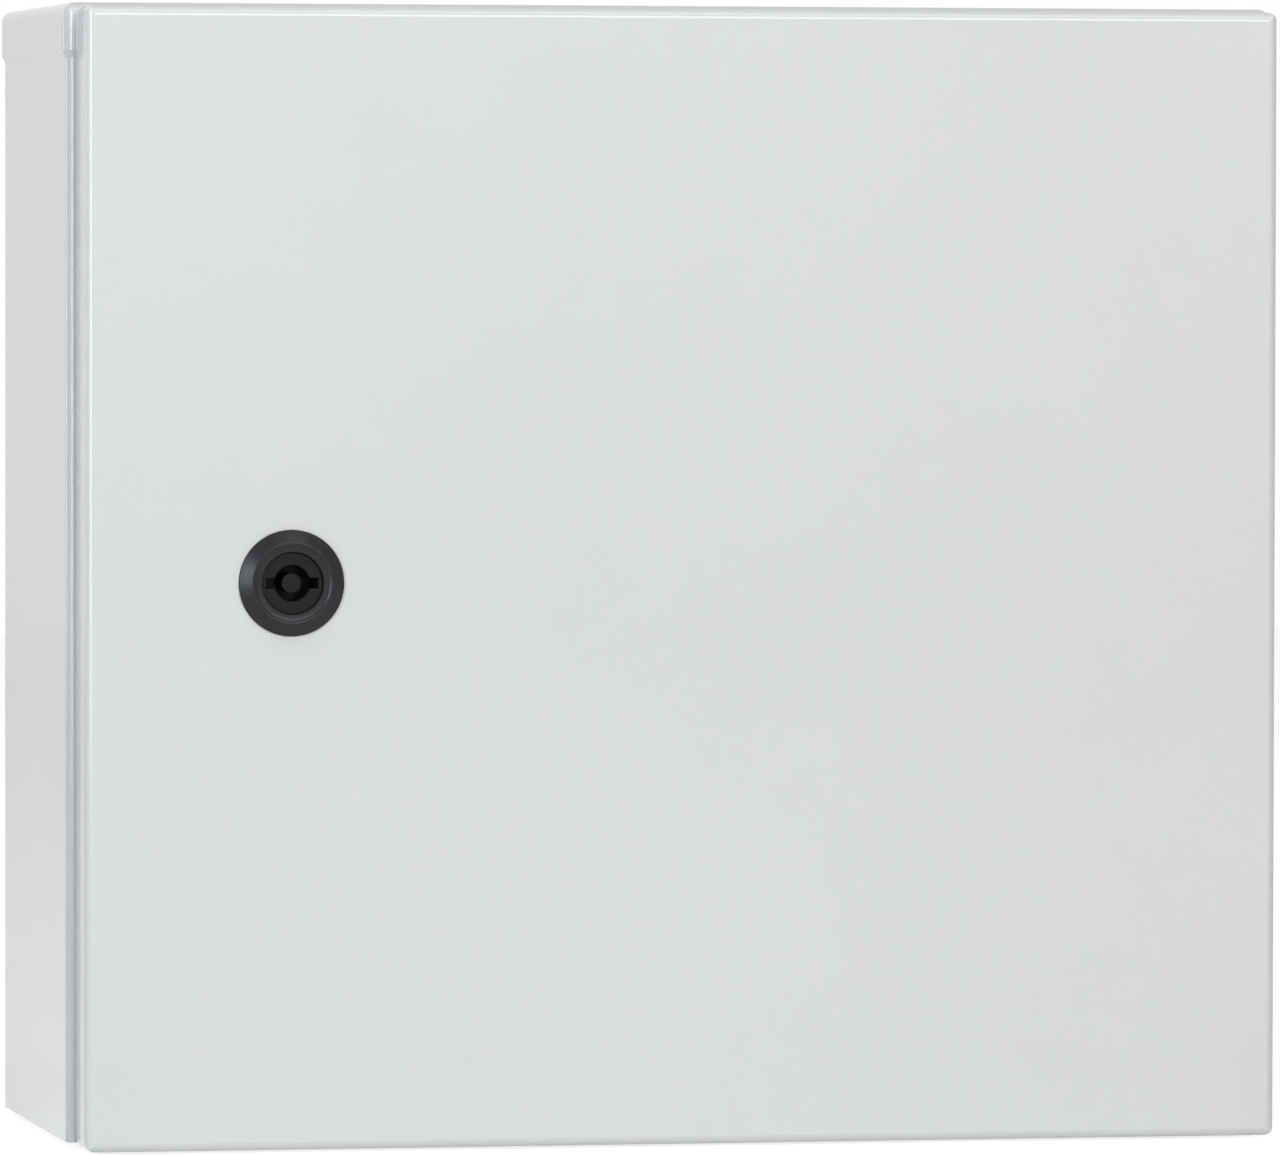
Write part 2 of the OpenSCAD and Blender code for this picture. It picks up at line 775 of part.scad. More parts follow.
// Nuts on the studs.
module plate_nuts() {
    color([0.78, 0.78, 0.8]) at_studs() difference() {
        union() {
            bar_y(spacer_r + 1, plate_front - 1, plate_front);
            hex_y(1.7 * stud_d, plate_front - nut_t, plate_front - 1);
        }
        bar_y(stud_d / 2 + fit_gap, plate_front - nut_t - 1, plate_front + 1);
    }
}

// Galvanised plate that carries the equipment.
module mounting_plate() {
    color([0.74, 0.75, 0.76]) difference() {
        along_y(plate_front, plate_back) rounded_rect(plate_w, plate_h, 4);
        at_studs() bar_y(stud_d / 2 + hole_gap, plate_front - 1, plate_back + 1);
        at_rail_screws() bar_y(rail_screw_r, -plate_t - 1, plate_t + 1);
    }
}

// Earth stud of the body, on the back panel below the mounting plate.
module body_earth_stud() {
    color([0.8, 0.68, 0.4])
        translate([-plate_w / 2 + 2 * stud_d, -sheet, (floor_z - plate_h / 2) / 2])
            earth_stud_set();
}

// ---------- battery ----------

// Sealed battery: case, lid with a groove between them, and a sunk top.
module battery() {
    lid_h = 12;
    color([0.16, 0.17, 0.19]) translate([batt_x, batt_back - batt_d / 2, batt_z]) difference() {
        translate([0, 0, -batt_h / 2]) linear_extrude(batt_h) rounded_rect(batt_w, batt_d, 2);
        translate([0, 0, batt_h / 2 - lid_h]) linear_extrude(1) difference() {
            square([batt_w + 1, batt_d + 1], center = true);
            rounded_rect(batt_w - 1, batt_d - 1, 1.5);
        }
        at_battery_tabs() translate([0, 0, -tab_well])
            linear_extrude(tab_well + 1) rounded_rect(14, 14, 1);
    }
}

tab_well = 4;
tab_w = 6.3;
tab_t = 0.8;
// Places its children at the battery's two tabs, on its top, in the battery's own frame.
module at_battery_tabs() {
    for (side = [-1, 1]) translate([side * (batt_w / 2 - 12), -batt_d / 2 + 12, batt_h / 2])
        children();
}

// Blade terminals in their wells.
module battery_terminals() {
    color([0.85, 0.8, 0.62]) translate([batt_x, batt_back - batt_d / 2, batt_z])
        at_battery_tabs() translate([0, 0, -tab_well]) {
            translate([-tab_w / 2, -tab_t / 2, 0]) cube([tab_w, tab_t, tab_well + 3]);
            translate([-tab_w / 2, -tab_t / 2, 0]) cube([tab_w, 4, tab_t]);
        }
}

tray_back_h = batt_h * 0.55;
// Tray under the battery, with a back that is fixed to the mounting plate.
module battery_tray() {
    outer_d = tray_inner_d + 2 * tray_t;
    color([0.72, 0.73, 0.74]) difference() {
        translate([batt_x - tray_w / 2, plate_front - outer_d, tray_z])
            cube([tray_w, outer_d, tray_back_h]);
        translate([batt_x - tray_inner_w / 2, plate_front - tray_inner_d - tray_t, tray_z + tray_t])
            cube([tray_inner_w, tray_inner_d, batt_h]);
        translate([batt_x - tray_w / 2 - 1, plate_front - outer_d - 1, tray_z + tray_rim])
            cube([tray_w + 2, outer_d - tray_t + 1, batt_h]);
    }
}

// Bent band round the front of the battery, above the tray's rim.
module battery_band() {
    ear = device_gap - rest_gap;
    depth = tray_inner_d + tray_t;
    band_z = tray_z + tray_back_h + rest_gap;
    color([0.66, 0.67, 0.69]) translate([batt_x, plate_front, band_z]) linear_extrude(band_h)
        difference() {
            union() {
                translate([-tray_w / 2, -depth - tray_t]) square([tray_w, depth + tray_t]);
                translate([0, -tray_t]) square([tray_w / 2 + ear, tray_t]);
            }
            translate([-tray_inner_w / 2, -depth]) square([tray_inner_w, depth + 1]);
        }
}

// ---------- power supply ----------

psu_wall = 1.2;
psu_shelf = 16;     // height of the open shelf that carries the terminals
vent_d = 5;
vent_pitch = 9;
// Vented metal case with an open shelf along its top.
module power_supply() {
    vent_nx = floor((psu_w - vent_pitch) / vent_pitch);
    vent_nz = floor((psu_h - psu_shelf - vent_pitch) / vent_pitch);
    color([0.75, 0.76, 0.78]) difference() {
        translate([psu_x - psu_w / 2, plate_front - psu_d, psu_z - psu_h / 2])
            cube([psu_w, psu_d, psu_h]);
        translate([psu_x - psu_w / 2 + psu_wall, plate_front - psu_d + psu_wall,
                   psu_z - psu_h / 2 + psu_wall])
            cube([psu_w - 2 * psu_wall, psu_d - 2 * psu_wall, psu_h - psu_shelf - 2 * psu_wall]);
        translate([psu_x - psu_w / 2 + psu_wall, plate_front - psu_d - 1,
                   psu_z + psu_h / 2 - psu_shelf])
            cube([psu_w - 2 * psu_wall, psu_d - psu_wall + 1, psu_shelf + 1]);
        for (i = [0:vent_nx - 1], j = [0:vent_nz - 1])
            translate([psu_x + (i - (vent_nx - 1) / 2) * vent_pitch, plate_front - psu_d,
                       psu_z - psu_shelf / 2 + (j - (vent_nz - 1) / 2) * vent_pitch])
                bar_y(vent_d / 2, -1, psu_wall + 1);
    }
}

psu_pitch = 9;
psu_base_h = 12;    // height of the barrier strip along Z
// Barrier strip on the shelf: a base, walls between the ways, and a screw in each way.
module power_supply_terminals() {
    ways = floor((psu_w - 2 * psu_wall - 4) / psu_pitch);
    wall = 1.6;
    strip_w = ways * psu_pitch + wall;
    base_t = psu_d - psu_wall - 12;
    color([0.13, 0.13, 0.14])
        translate([psu_x - strip_w / 2, plate_front - psu_wall, psu_z + psu_h / 2 - psu_shelf]) {
            translate([0, -base_t, 0]) cube([strip_w, base_t, psu_base_h]);
            translate([0, -base_t - 7, 0]) cube([strip_w, 7, wall]);
            for (i = [0:ways]) translate([i * psu_pitch, -base_t - 7, 0])
                cube([wall, 7, psu_base_h]);
            for (i = [0:ways - 1])
                translate([(i + 0.5) * psu_pitch + wall / 2, -base_t, psu_base_h / 2 + 1])
                    difference() {
                        bar_y(3, -2.5, 0);
                        translate([-3, -3, -0.4]) cube([6, 1.2, 0.8]);
                    }
        }
}

// ---------- control board ----------

// Places its children at the control board's fixing holes: four corners and two in the middle.
module at_board_holes() {
    for (x = [-1, 0, 1], z = [-1, 1])
        translate([board_x + x * (board_w / 2 - board_hole_inset), 0,
                   board_z + z * (board_h / 2 - board_hole_inset)]) children();
}

board_screw_r = 1.5;
// Main circuit board.
module control_board() {
    color([0.06, 0.35, 0.2]) difference() {
        along_y(board_front, board_back) translate([board_x, board_z]) rounded_rect(board_w, board_h, 2);
        at_board_holes() bar_y(board_screw_r, board_front - 1, board_back + 1);
    }
}

// Hexagonal standoffs between the mounting plate and the control board.
module board_standoffs() {
    color([0.82, 0.74, 0.5]) at_board_holes() difference() {
        hex_y(5.5, board_back, plate_front);
        bar_y(board_screw_r, board_back - 1, board_back + 6);
    }
}

// Screws of the control board. Those at the operator panel's corners are its posts' own studs.
module board_screws() {
    color("silver") at_board_holes() translate([0, board_front, 0]) screw(board_screw_r, board_t + 5);
}

// One terminal block, its back at y = 0 and its wires to -Z, centred in X.
module terminal_block() {
    w = block_ways * block_pitch;
    difference() {
        along_x(w) polygon([[0, -5], [-8, -5], [-11, -2], [-11, 2], [-8, 4], [0, 4]]);
        for (i = [0:block_ways - 1]) translate([-w / 2 + (i + 0.5) * block_pitch, 0, 0]) {
            bar_y(1.5, -12, -8);
            translate([-1.5, -7, -6]) cube([3, 4, 5]);
        }
    }
}

block_row_z = board_z - board_h / 2 + 2 * board_hole_inset;
driver_z = block_row_z + 14;
blocks_n = floor((board_w - 4 * board_hole_inset) / (block_ways * block_pitch + 2));
block_step = (board_w - 4 * board_hole_inset) / blocks_n;
// Row of terminal blocks along the board's lower edge.
module terminal_blocks() {
    color([0.1, 0.45, 0.3]) for (i = [0:blocks_n - 1])
        translate([board_x + (i - (blocks_n - 1) / 2) * block_step, board_front, block_row_z + 5])
            terminal_block();
}

// Column of relays on the right part of the board, clear of the operator panel.
free_x = panel_x + fascia_w / 2;
free_w = board_x + board_w / 2 - free_x;
relay_z = board_z + board_h / 2 - 14;
relay_pitch = 20;
relays_n = floor((board_h - 42) / relay_pitch);
module relays() {
    color([0.13, 0.25, 0.5]) for (i = [0:relays_n - 1])
        translate([free_x + free_w * 0.32, board_front - 15.5, relay_z - i * relay_pitch])
            translate([-9.5, 0, -8]) cube([19, 15.5, 16]);
}

// Electrolytic capacitors beside the relays.
module capacitors() {
    color([0.12, 0.13, 0.2]) for (i = [0:relays_n - 1])
        translate([free_x + free_w * 0.78, 0, relay_z - i * relay_pitch])
            difference() {
                bar_y(5.5, board_front - 14, board_front);
                for (a = [0, 90]) rotate([0, a, 0])
                    translate([-4, board_front - 14.5, -0.3]) cube([8, 1, 0.6]);
                translate([0, board_front - 11, 0]) rotate([90, 0, 0]) rotate_extrude()
                    translate([5.5, 0]) circle(0.5);
            }
}

chip_t = board_t;
driver_w = 12;
drivers_n = blocks_n;
driver_pitch = (fascia_w - 2 * driver_w) / drivers_n;
// Processor and memory under the operator panel, and a row of line drivers above the blocks.
module chips() {
    cpu_w = 18;
    color([0.09, 0.09, 0.1]) translate([0, board_front - chip_t, 0]) {
        translate([panel_x - cpu_w / 2, 0, panel_z - cpu_w / 2]) cube([cpu_w, chip_t, cpu_w]);
        translate([panel_x + cpu_w, 0, panel_z - cpu_w / 3]) cube([cpu_w / 2, chip_t, cpu_w * 2 / 3]);
        for (i = [0:drivers_n - 1])
            translate([panel_x - fascia_w / 2 + driver_w + (i + 0.3) * driver_pitch, 0, driver_z])
                cube([driver_w, chip_t, driver_w / 2]);
    }
}

fuse_l = 20;
fuse_row_z = block_row_z + 16;
// Glass fuses, each in two clips.
module fuses() {
    color([0.8, 0.82, 0.85]) for (i = [0:1])
        translate([free_x + free_w / 2, board_front, fuse_row_z + 1 + i * 9]) {
            for (side = [-1, 1]) translate([side * (fuse_l / 2 - 2.5) - 2.5, -4, -3.2])
                difference() {
                    cube([5, 4, 6.4]);
                    translate([-1, -4, 1]) cube([7, 7, 4.4]);
                }
            translate([-fuse_l / 2, -3.2, 0]) rotate([0, 90, 0]) cylinder(r = 2.2, h = fuse_l);
        }
}

// Sounder on the operator panel's board.
module buzzer() {
    color([0.07, 0.07, 0.07]) translate([panel_x + fascia_w / 2 - 16, 0, display_z]) difference() {
        bar_y(6, panel_front - panel_space + 1, panel_front);
        bar_y(1, panel_front - panel_space, panel_front - panel_space + 3);
    }
}

// ---------- operator panel ----------

// Places its children at the operator panel's four posts.
module at_posts() {
    for (x = [-1, 1], z = [-1, 1])
        translate([panel_x + x * (fascia_w / 2 - post_inset - 4), 0,
                   panel_z + z * (fascia_h / 2 - post_inset - 4)]) children();
}

// Circuit board behind the operator panel.
module panel_board() {
    color([0.06, 0.33, 0.2]) difference() {
        along_y(panel_front, panel_back) translate([panel_x, panel_z])
            rounded_rect(fascia_w - 2 * post_inset, fascia_h - 2 * post_inset, 2);
        at_posts() bar_y(board_screw_r, panel_front - 1, panel_back + 1);
    }
}

// Posts from the control board to the panel's board, and on to the panel.
module panel_posts() {
    color([0.8, 0.72, 0.48]) at_posts() {
        bar_y(post_r, panel_back, board_front);
        bar_y(board_screw_r, fascia_back, panel_back + EPS);
        bar_y(post_r, fascia_back, panel_front);
    }
}

led_n = 6;
led_pitch = 14;
// Places its children at the indicator lamps, in two rows beside the display.
module at_leds() {
    for (i = [0:led_n - 1])
        translate([panel_x + (i - (led_n - 1) / 2) * led_pitch, 0, (button_z + display_z) / 2 + 1])
            children();
}

// Places its children at push button number i, from 0.
module at_button(i) {
    translate([panel_x + (i - 1.5) * button_pitch, 0, button_z]) children();
}

// Flat panel with the openings for the display, the lamps, the buttons and the sounder.
module operator_panel() {
    color([0.55, 0.57, 0.6]) difference() {
        along_y(fascia_front, fascia_back) translate([panel_x, panel_z]) rounded_rect(fascia_w, fascia_h, 4);
        along_y(fascia_front - 1, fascia_back + 1) translate([display_x, display_z])
            square([display_w, display_h], center = true);
        at_leds() bar_y(led_d / 2 + 0.1, fascia_front - 1, fascia_back + 1);
        for (i = [0:3]) at_button(i) bar_y(button_d / 2 + slip_gap, fascia_front - 1, fascia_back + 1);
        for (i = [-1:1], j = [-1:1])
            translate([panel_x + fascia_w / 2 - 16 + i * 4, 0, display_z + j * 4])
                bar_y(0.9, fascia_front - 1, fascia_back + 1);
        at_posts() translate([0, fascia_front, 0]) bar_y(board_screw_r, -1, fascia_t + 1);
    }
}

// Liquid crystal module behind the window.
module display_module() {
    color([0.25, 0.32, 0.22])
        translate([display_x - display_w / 2 - 3, fascia_back + rest_gap, display_z - display_h / 2 - 3])
            cube([display_w + 6, panel_space - rest_gap, display_h + 6]);
}

// Clear window set into the panel.
module display_window() {
    color([0.6, 0.7, 0.65, 0.5])
        translate([display_x - display_w / 2, fascia_front + 0.3, display_z - display_h / 2])
            cube([display_w, fascia_t - 0.3, display_h]);
}

// Round lamps with domed ends.
module indicator_lamps() {
    color([0.8, 0.15, 0.1]) at_leds() {
        bar_y(led_d / 2, fascia_front, panel_front);
        translate([0, fascia_front, 0]) sphere(r = led_d / 2);
        bar_y(led_d / 2 + 0.5, panel_front - 1, panel_front);
    }
}

switch_h = 4;
// Switch bodies under the push buttons.
module button_switches() {
    color([0.1, 0.1, 0.1]) for (i = [0:3]) at_button(i) {
        translate([-3, panel_front - switch_h + 0.5, -3]) cube([6, switch_h - 0.5, 6]);
        bar_y(1.7, panel_front - switch_h, panel_front - 1);
    }
}

// Push button i: cap, keeper rim behind the panel, and stem above the switch.
module button(i) {
    rim_t = 1;
    stem_end = panel_front - switch_h - button_travel - 0.1;
    at_button(i) {
        bar_y(button_d / 2, fascia_front - button_proud + 0.5, fascia_back + 0.1);
        translate([0, fascia_front - button_proud + 0.5, 0]) rotate([90, 0, 0])
            cylinder(r1 = button_d / 2, r2 = button_d / 2 - 0.5, h = 0.5);
        bar_y(button_d / 2 + 0.8, fascia_back + 0.1, fascia_back + 0.1 + rim_t);
        bar_y(2, fascia_back + 0.1, stem_end);
    }
}

module button_1() { color([0.75, 0.12, 0.1]) button(0); }
module button_2() { color([0.85, 0.85, 0.85]) button(1); }
module button_3() { color([0.85, 0.85, 0.85]) button(2); }
module button_4() { color([0.15, 0.35, 0.7]) button(3); }

// ---------- rail devices ----------

rail_screw_r = 2;
// Places its children at the rail's screws, on the mounting plate's face.
module at_rail_screws() {
    for (side = [-1, 1]) translate([rail_x + side * (rail_l / 2 - 4), plate_front, rail_z]) children();
}

// Top-hat section.
module din_rail() {
    foot = 27;
    color([0.78, 0.78, 0.74]) difference() {
        translate([rail_x, plate_front, rail_z]) along_x(rail_l) polygon([
            [0, -foot / 2 + rail_t], [0, foot / 2 - rail_t], [-rail_d + rail_t, foot / 2 - rail_t],
            [-rail_d + rail_t, rail_h / 2], [-rail_d, rail_h / 2], [-rail_d, foot / 2 - 2 * rail_t],
            [-rail_t, foot / 2 - 2 * rail_t], [-rail_t, -foot / 2 + 2 * rail_t],
            [-rail_d, -foot / 2 + 2 * rail_t], [-rail_d, -rail_h / 2],
            [-rail_d + rail_t, -rail_h / 2], [-rail_d + rail_t, -foot / 2 + rail_t]
        ]);
        at_rail_screws() bar_y(rail_screw_r, -rail_t - 1, 1);
    }
}

// Screws that hold the rail to the mounting plate.
module rail_screws() {
    color("silver") at_rail_screws() translate([0, -rail_t, 0]) screw(rail_screw_r, rail_t + plate_t + 2);
}

// Drawing of a device's foot in Y and Z: it sits on the rail and hooks round its edges.
module rail_foot(h) {
    difference() {
        translate([-2, -h / 2]) square([2 + rail_t + 2, h]);
        translate([0, -rail_h / 2 - 0.2]) square([rail_t + 0.2, rail_h + 0.4]);
        translate([0, -rail_h / 2 + 1.5]) square([8, rail_h - 3]);
    }
}

// One rail terminal, centred in X, standing on the rail's front face.
module rail_terminal() {
    h = 42;
    d = 36;
    difference() {
        along_x(rail_terminal_w - 0.1) union() {
            rail_foot(h);
            polygon([[-1, -h / 2], [-1, h / 2], [-22, h / 2], [-d, 12], [-d, -12], [-22, -h / 2]]);
        }
        for (side = [-1, 1]) {
            translate([0, -30, side * 16.5]) bar_y(1.8, -6, 14);
            translate([-1.3, -16, side * 19 - 3]) cube([2.6, 5, 6]);
        }
    }
}

terminals_x = breaker_x + breaker_w / 2 + 2;
// Row of rail terminals beside the breaker.
module rail_terminals() {
    color([0.62, 0.64, 0.64]) for (i = [0:rail_terminals_n - 1])
        translate([terminals_x + (i + 0.5) * rail_terminal_w, rail_front, rail_z]) rail_terminal();
}

stop_w = 6;
// End stops at both ends of the row.
module rail_end_stops() {
    color([0.2, 0.2, 0.22]) for (x = [breaker_x - breaker_w / 2 - 0.5 - stop_w / 2,
                                      terminals_x + rail_terminals_n * rail_terminal_w + 0.3 + stop_w / 2])
        translate([x, rail_front, rail_z]) difference() {
            along_x(stop_w) union() {
                rail_foot(44);
                polygon([[-1, -22], [-1, 22], [-14, 22], [-22, 14], [-22, -14], [-14, -22]]);
            }
            bar_y(2, -23, -15);
        }
}

nose_h = 45;
shoulder_d = 44;
// Breaker housing: shoulders for the terminals and a nose for the toggle.
module breaker() {
    color([0.88, 0.88, 0.86]) translate([breaker_x, rail_front, rail_z]) difference() {
        along_x(breaker_w) union() {
            rail_foot(breaker_h / 2 + 6);
            polygon([
                [-1, -breaker_h / 2], [-1, breaker_h / 2], [-shoulder_d, breaker_h / 2],
                [-shoulder_d, nose_h / 2 + 2], [-shoulder_d - 2, nose_h / 2], [-breaker_d, nose_h / 2],
                [-breaker_d, -nose_h / 2], [-shoulder_d - 2, -nose_h / 2],
                [-shoulder_d, -nose_h / 2 - 2], [-shoulder_d, -breaker_h / 2]
            ]);
        }
        translate([0, toggle_y - rail_front, 0]) rotate([0, 90, 0])
            cylinder(r = toggle_r + 0.3, h = toggle_w + 0.6, center = true);
        translate([-toggle_w / 2 - 0.3, -breaker_d - 1, -toggle_r - 0.3])
            cube([toggle_w + 0.6, 4, 2 * toggle_r + 0.6]);
        for (side = [-1, 1]) {
            translate([0, 0, side * (breaker_h / 2 - 8)]) bar_y(3.2, -shoulder_d - 1, -shoulder_d + 8);
            translate([-4, -30, side * (breaker_h / 2 - 3) - 4]) cube([8, 9, 8]);
        }
    }
}

// Toggle: a drum with a lever, up at rest.
module breaker_toggle() {
    lever = 13;
    color([0.08, 0.08, 0.09]) translate([breaker_x, toggle_y, rail_z]) rotate([-toggle_swing / 2, 0, 0]) {
        rotate([0, 90, 0]) cylinder(r = toggle_r, h = toggle_w, center = true);
        translate([0, -lever / 2 - 2, 0]) cube([toggle_w, lever, 4], center = true);
    }
}

// ---------- tamper switch ----------

tamper_leaf = 1.5;
// Angle on the side wall that carries the tamper switch.
module tamper_bracket() {
    back = tamper_front + tamper_d + tamper_leaf;
    color([0.72, 0.73, 0.74]) translate([0, 0, tamper_z]) {
        translate([side_x - tamper_leaf, back - tamper_leaf, -tamper_h / 2]) cube([tamper_leaf, 24, tamper_h]);
        translate([tamper_x - tamper_w / 2, back - tamper_leaf, -tamper_h / 2])
            cube([side_x - tamper_x + tamper_w / 2, tamper_leaf, tamper_h]);
    }
}

// Switch body, bored for its plunger.
module tamper_switch() {
    color([0.12, 0.12, 0.13]) difference() {
        union() {
            translate([tamper_x - tamper_w / 2, tamper_front, tamper_z - tamper_h / 2])
                cube([tamper_w, tamper_d, tamper_h]);
            translate([tamper_x, 0, tamper_z]) bar_y(plunger_d / 2 + 1.5, tamper_front - 3, tamper_front + EPS);
        }
        translate([tamper_x, 0, tamper_z]) bar_y(plunger_d / 2 + fit_gap, tamper_front - 4, tamper_front + 11);
    }
}

// Plunger that the closed door holds in.
module tamper_plunger() {
    tip = door_inner + rest_gap;
    color([0.85, 0.85, 0.8]) translate([tamper_x, 0, tamper_z]) {
        bar_y(plunger_d / 2, tip + 1, tamper_front + 10);
        translate([0, tip + 1, 0]) rotate([90, 0, 0]) cylinder(r1 = plunger_d / 2, r2 = plunger_d / 2 - 0.8, h = 1);
    }
}

body_shell();
top_cap();
gland_plate();
gland_gasket();
gland_plate_screws();
cable_grommets();
hinge_arms();
hinge_rivets();
plate_studs();
plate_spacers();
plate_nuts();
mounting_plate();
body_earth_stud();
battery();
battery_terminals();
battery_tray();
battery_band();
power_supply();
power_supply_terminals();
control_board();
board_standoffs();
board_screws();
terminal_blocks();
relays();
capacitors();
chips();
fuses();
buzzer();
panel_board();
panel_posts();
operator_panel();
display_module();
display_window();
indicator_lamps();
button_switches();
button_1();
button_2();
button_3();
button_4();
din_rail();
rail_screws();
rail_terminals();
rail_end_stops();
breaker();
breaker_toggle();
tamper_bracket();
tamper_switch();
tamper_plunger();
door_panel();
door_gasket();
door_earth_stud();
hinge_pins();
hinge_clips();
lock_housing();
lock_seal();
lock_nut();
lock_core();
lock_cam();
lock_cam_screw();
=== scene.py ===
"""Looks of a fire alarm control panel's wall cabinet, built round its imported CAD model.

X runs to the right, the door faces -Y, Z runs up, all in metres. Sizes and places come from the
frame; values in millimetres carry MM.
"""
import json
import math

import bmesh
import bpy
import numpy as np
from mathutils import Matrix, Vector


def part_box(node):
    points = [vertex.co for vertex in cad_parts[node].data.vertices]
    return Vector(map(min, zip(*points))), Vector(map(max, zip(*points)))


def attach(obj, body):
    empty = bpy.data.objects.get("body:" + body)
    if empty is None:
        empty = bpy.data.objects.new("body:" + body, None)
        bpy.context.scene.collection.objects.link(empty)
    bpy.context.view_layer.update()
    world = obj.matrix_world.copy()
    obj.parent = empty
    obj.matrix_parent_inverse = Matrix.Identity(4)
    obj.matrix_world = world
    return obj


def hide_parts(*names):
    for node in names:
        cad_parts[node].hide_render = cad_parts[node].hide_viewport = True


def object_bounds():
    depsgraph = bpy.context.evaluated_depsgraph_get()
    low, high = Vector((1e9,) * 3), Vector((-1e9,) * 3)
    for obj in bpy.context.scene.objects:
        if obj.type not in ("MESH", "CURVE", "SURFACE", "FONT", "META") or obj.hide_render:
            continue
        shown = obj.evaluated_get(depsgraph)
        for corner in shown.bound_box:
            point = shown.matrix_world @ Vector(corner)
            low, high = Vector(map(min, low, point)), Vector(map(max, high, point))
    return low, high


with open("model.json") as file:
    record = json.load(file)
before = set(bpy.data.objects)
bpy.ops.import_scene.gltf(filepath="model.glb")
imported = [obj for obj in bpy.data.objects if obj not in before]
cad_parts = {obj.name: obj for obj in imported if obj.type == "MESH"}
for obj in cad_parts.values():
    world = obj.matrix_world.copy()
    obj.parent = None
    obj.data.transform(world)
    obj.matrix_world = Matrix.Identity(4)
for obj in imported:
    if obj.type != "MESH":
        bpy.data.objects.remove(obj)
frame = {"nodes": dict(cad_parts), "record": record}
CAD_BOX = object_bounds()
MM = 0.001

# ---------------------------------------------------------------- camera, lamps and room

CAMERA_DISTANCE = 2.8687
CAMERA_AZIMUTH = math.radians(-11.285)
CAMERA_ELEVATION = math.radians(1.763)
CAMERA_ROLL = math.radians(0.108)
CAMERA_AIM = Vector((0.0, -0.070, 0.0))     # the point that the camera goes round
CAMERA_TURN = (0.0004, -0.00076)            # how far its axis then points right and up of it
CAMERA_CLIP = (0.05, 50.0)
LENS_MM = 298.3
SENSOR_MM = 36.0

WHITE, COOL = (1.0, 1.0, 1.0), (0.94, 0.98, 1.0)
SOFTBOXES = (       # name, place, width, height, watts, colour
    ("key softbox", (0.30, -2.10, 0.80), 1.4, 0.9, 18.8, WHITE),
    ("top softbox", (-0.10, -0.73, 1.35), 1.4, 0.4, 4.8, WHITE),
    ("left softbox", (-1.42, -1.48, 0.30), 0.5, 0.88, 11.2, COOL),
    ("rear softbox", (-1.50, 0.90, 0.13), 0.2, 0.45, 2.4, COOL),
)
FILL_LIGHT = 0.20       # strength of the surroundings for diffuse rays, where 1 is white
FLOOR_SIZE = 7.0
FLOOR_TONE = 0.80
FLOOR_GLOW = 0.78       # makes the floor as white as the surroundings outside the shadow


def across(ahead):
    """The directions to the right and upwards for a view along ahead."""
    right = ahead.cross(Vector((0, 0, 1))).normalized()
    return right, right.cross(ahead)


def place_camera():
    """Puts a long lens at the given distance and angles, turned by the small aim offsets."""
    eye = CAMERA_AIM + CAMERA_DISTANCE * Vector((
        math.sin(CAMERA_AZIMUTH) * math.cos(CAMERA_ELEVATION),
        -math.cos(CAMERA_AZIMUTH) * math.cos(CAMERA_ELEVATION),
        math.sin(CAMERA_ELEVATION)))
    ahead = (CAMERA_AIM - eye).normalized()
    right, up = across(ahead)
    ahead = (ahead + CAMERA_TURN[0] * right + CAMERA_TURN[1] * up).normalized()
    roll = Matrix.Rotation(-CAMERA_ROLL, 3, ahead)
    right, up = (roll @ side for side in across(ahead))
    basis = Matrix((right, up, -ahead)).transposed()
    data = bpy.data.cameras.new("camera")
    data.lens, data.sensor_width = LENS_MM, SENSOR_MM
    data.clip_start, data.clip_end = CAMERA_CLIP
    camera = bpy.data.objects.new("camera", data)
    camera.matrix_world = Matrix.Translation(eye) @ basis.to_4x4()
    bpy.context.collection.objects.link(camera)
    bpy.context.scene.camera = camera


def softbox(name, place, width, height, power, colour):
    """A rectangular lamp that faces the middle of the cabinet."""
    data = bpy.data.lights.new(name, "AREA")
    data.shape, data.size, data.size_y = "RECTANGLE", width, height
    data.energy, data.color = power, colour
    lamp = bpy.data.objects.new(name, data)
    lamp.location = place
    aim = CAMERA_AIM - Vector(place)
    lamp.rotation_euler = aim.to_track_quat("-Z", "Y").to_euler()
    bpy.context.collection.objects.link(lamp)


def link(tree, source, target):
    """Joins an output of one node to an input of another."""
    tree.links.new(source, target)


def add_node(tree, kind, inputs=None, **settings):
    """A new node with its settings, and with each named input set or joined."""
    node = tree.nodes.new(kind)
    for key, value in settings.items():
        setattr(node, key, value)
    for key, value in (inputs or {}).items():
        if isinstance(value, bpy.types.NodeSocket):
            link(tree, value, node.inputs[key])
        else:
            node.inputs[key].default_value = value
    return node


def emptied(owner):
    """The node tree of a world or a material, with nothing in it."""
    owner.use_nodes = True
    owner.node_tree.nodes.clear()
    return owner.node_tree


def seen_rays(tree):
    """Value that is 1 for camera, glossy and transmitted rays, and 0 for the rest."""
    path = add_node(tree, "ShaderNodeLightPath").outputs
    total = path["Is Camera Ray"]
    for name in ("Is Glossy Ray", "Is Transmission Ray"):
        total = add_node(tree, "ShaderNodeMath", {0: total, 1: path[name]}, operation="ADD",
                         use_clamp=True).outputs[0]
    return total


def build_surroundings():
    """White surroundings that also light the cabinet softly from all sides."""
    world = bpy.data.worlds.new("room")
    bpy.context.scene.world = world
    tree = emptied(world)
    strength = add_node(tree, "ShaderNodeMapRange", {
        "Value": seen_rays(tree), "To Min": FILL_LIGHT, "To Max": 1.0})
    back = add_node(tree, "ShaderNodeBackground", {
        "Color": (*WHITE, 1.0), "Strength": strength.outputs["Result"]})
    add_node(tree, "ShaderNodeOutputWorld", {"Surface": back.outputs[0]})


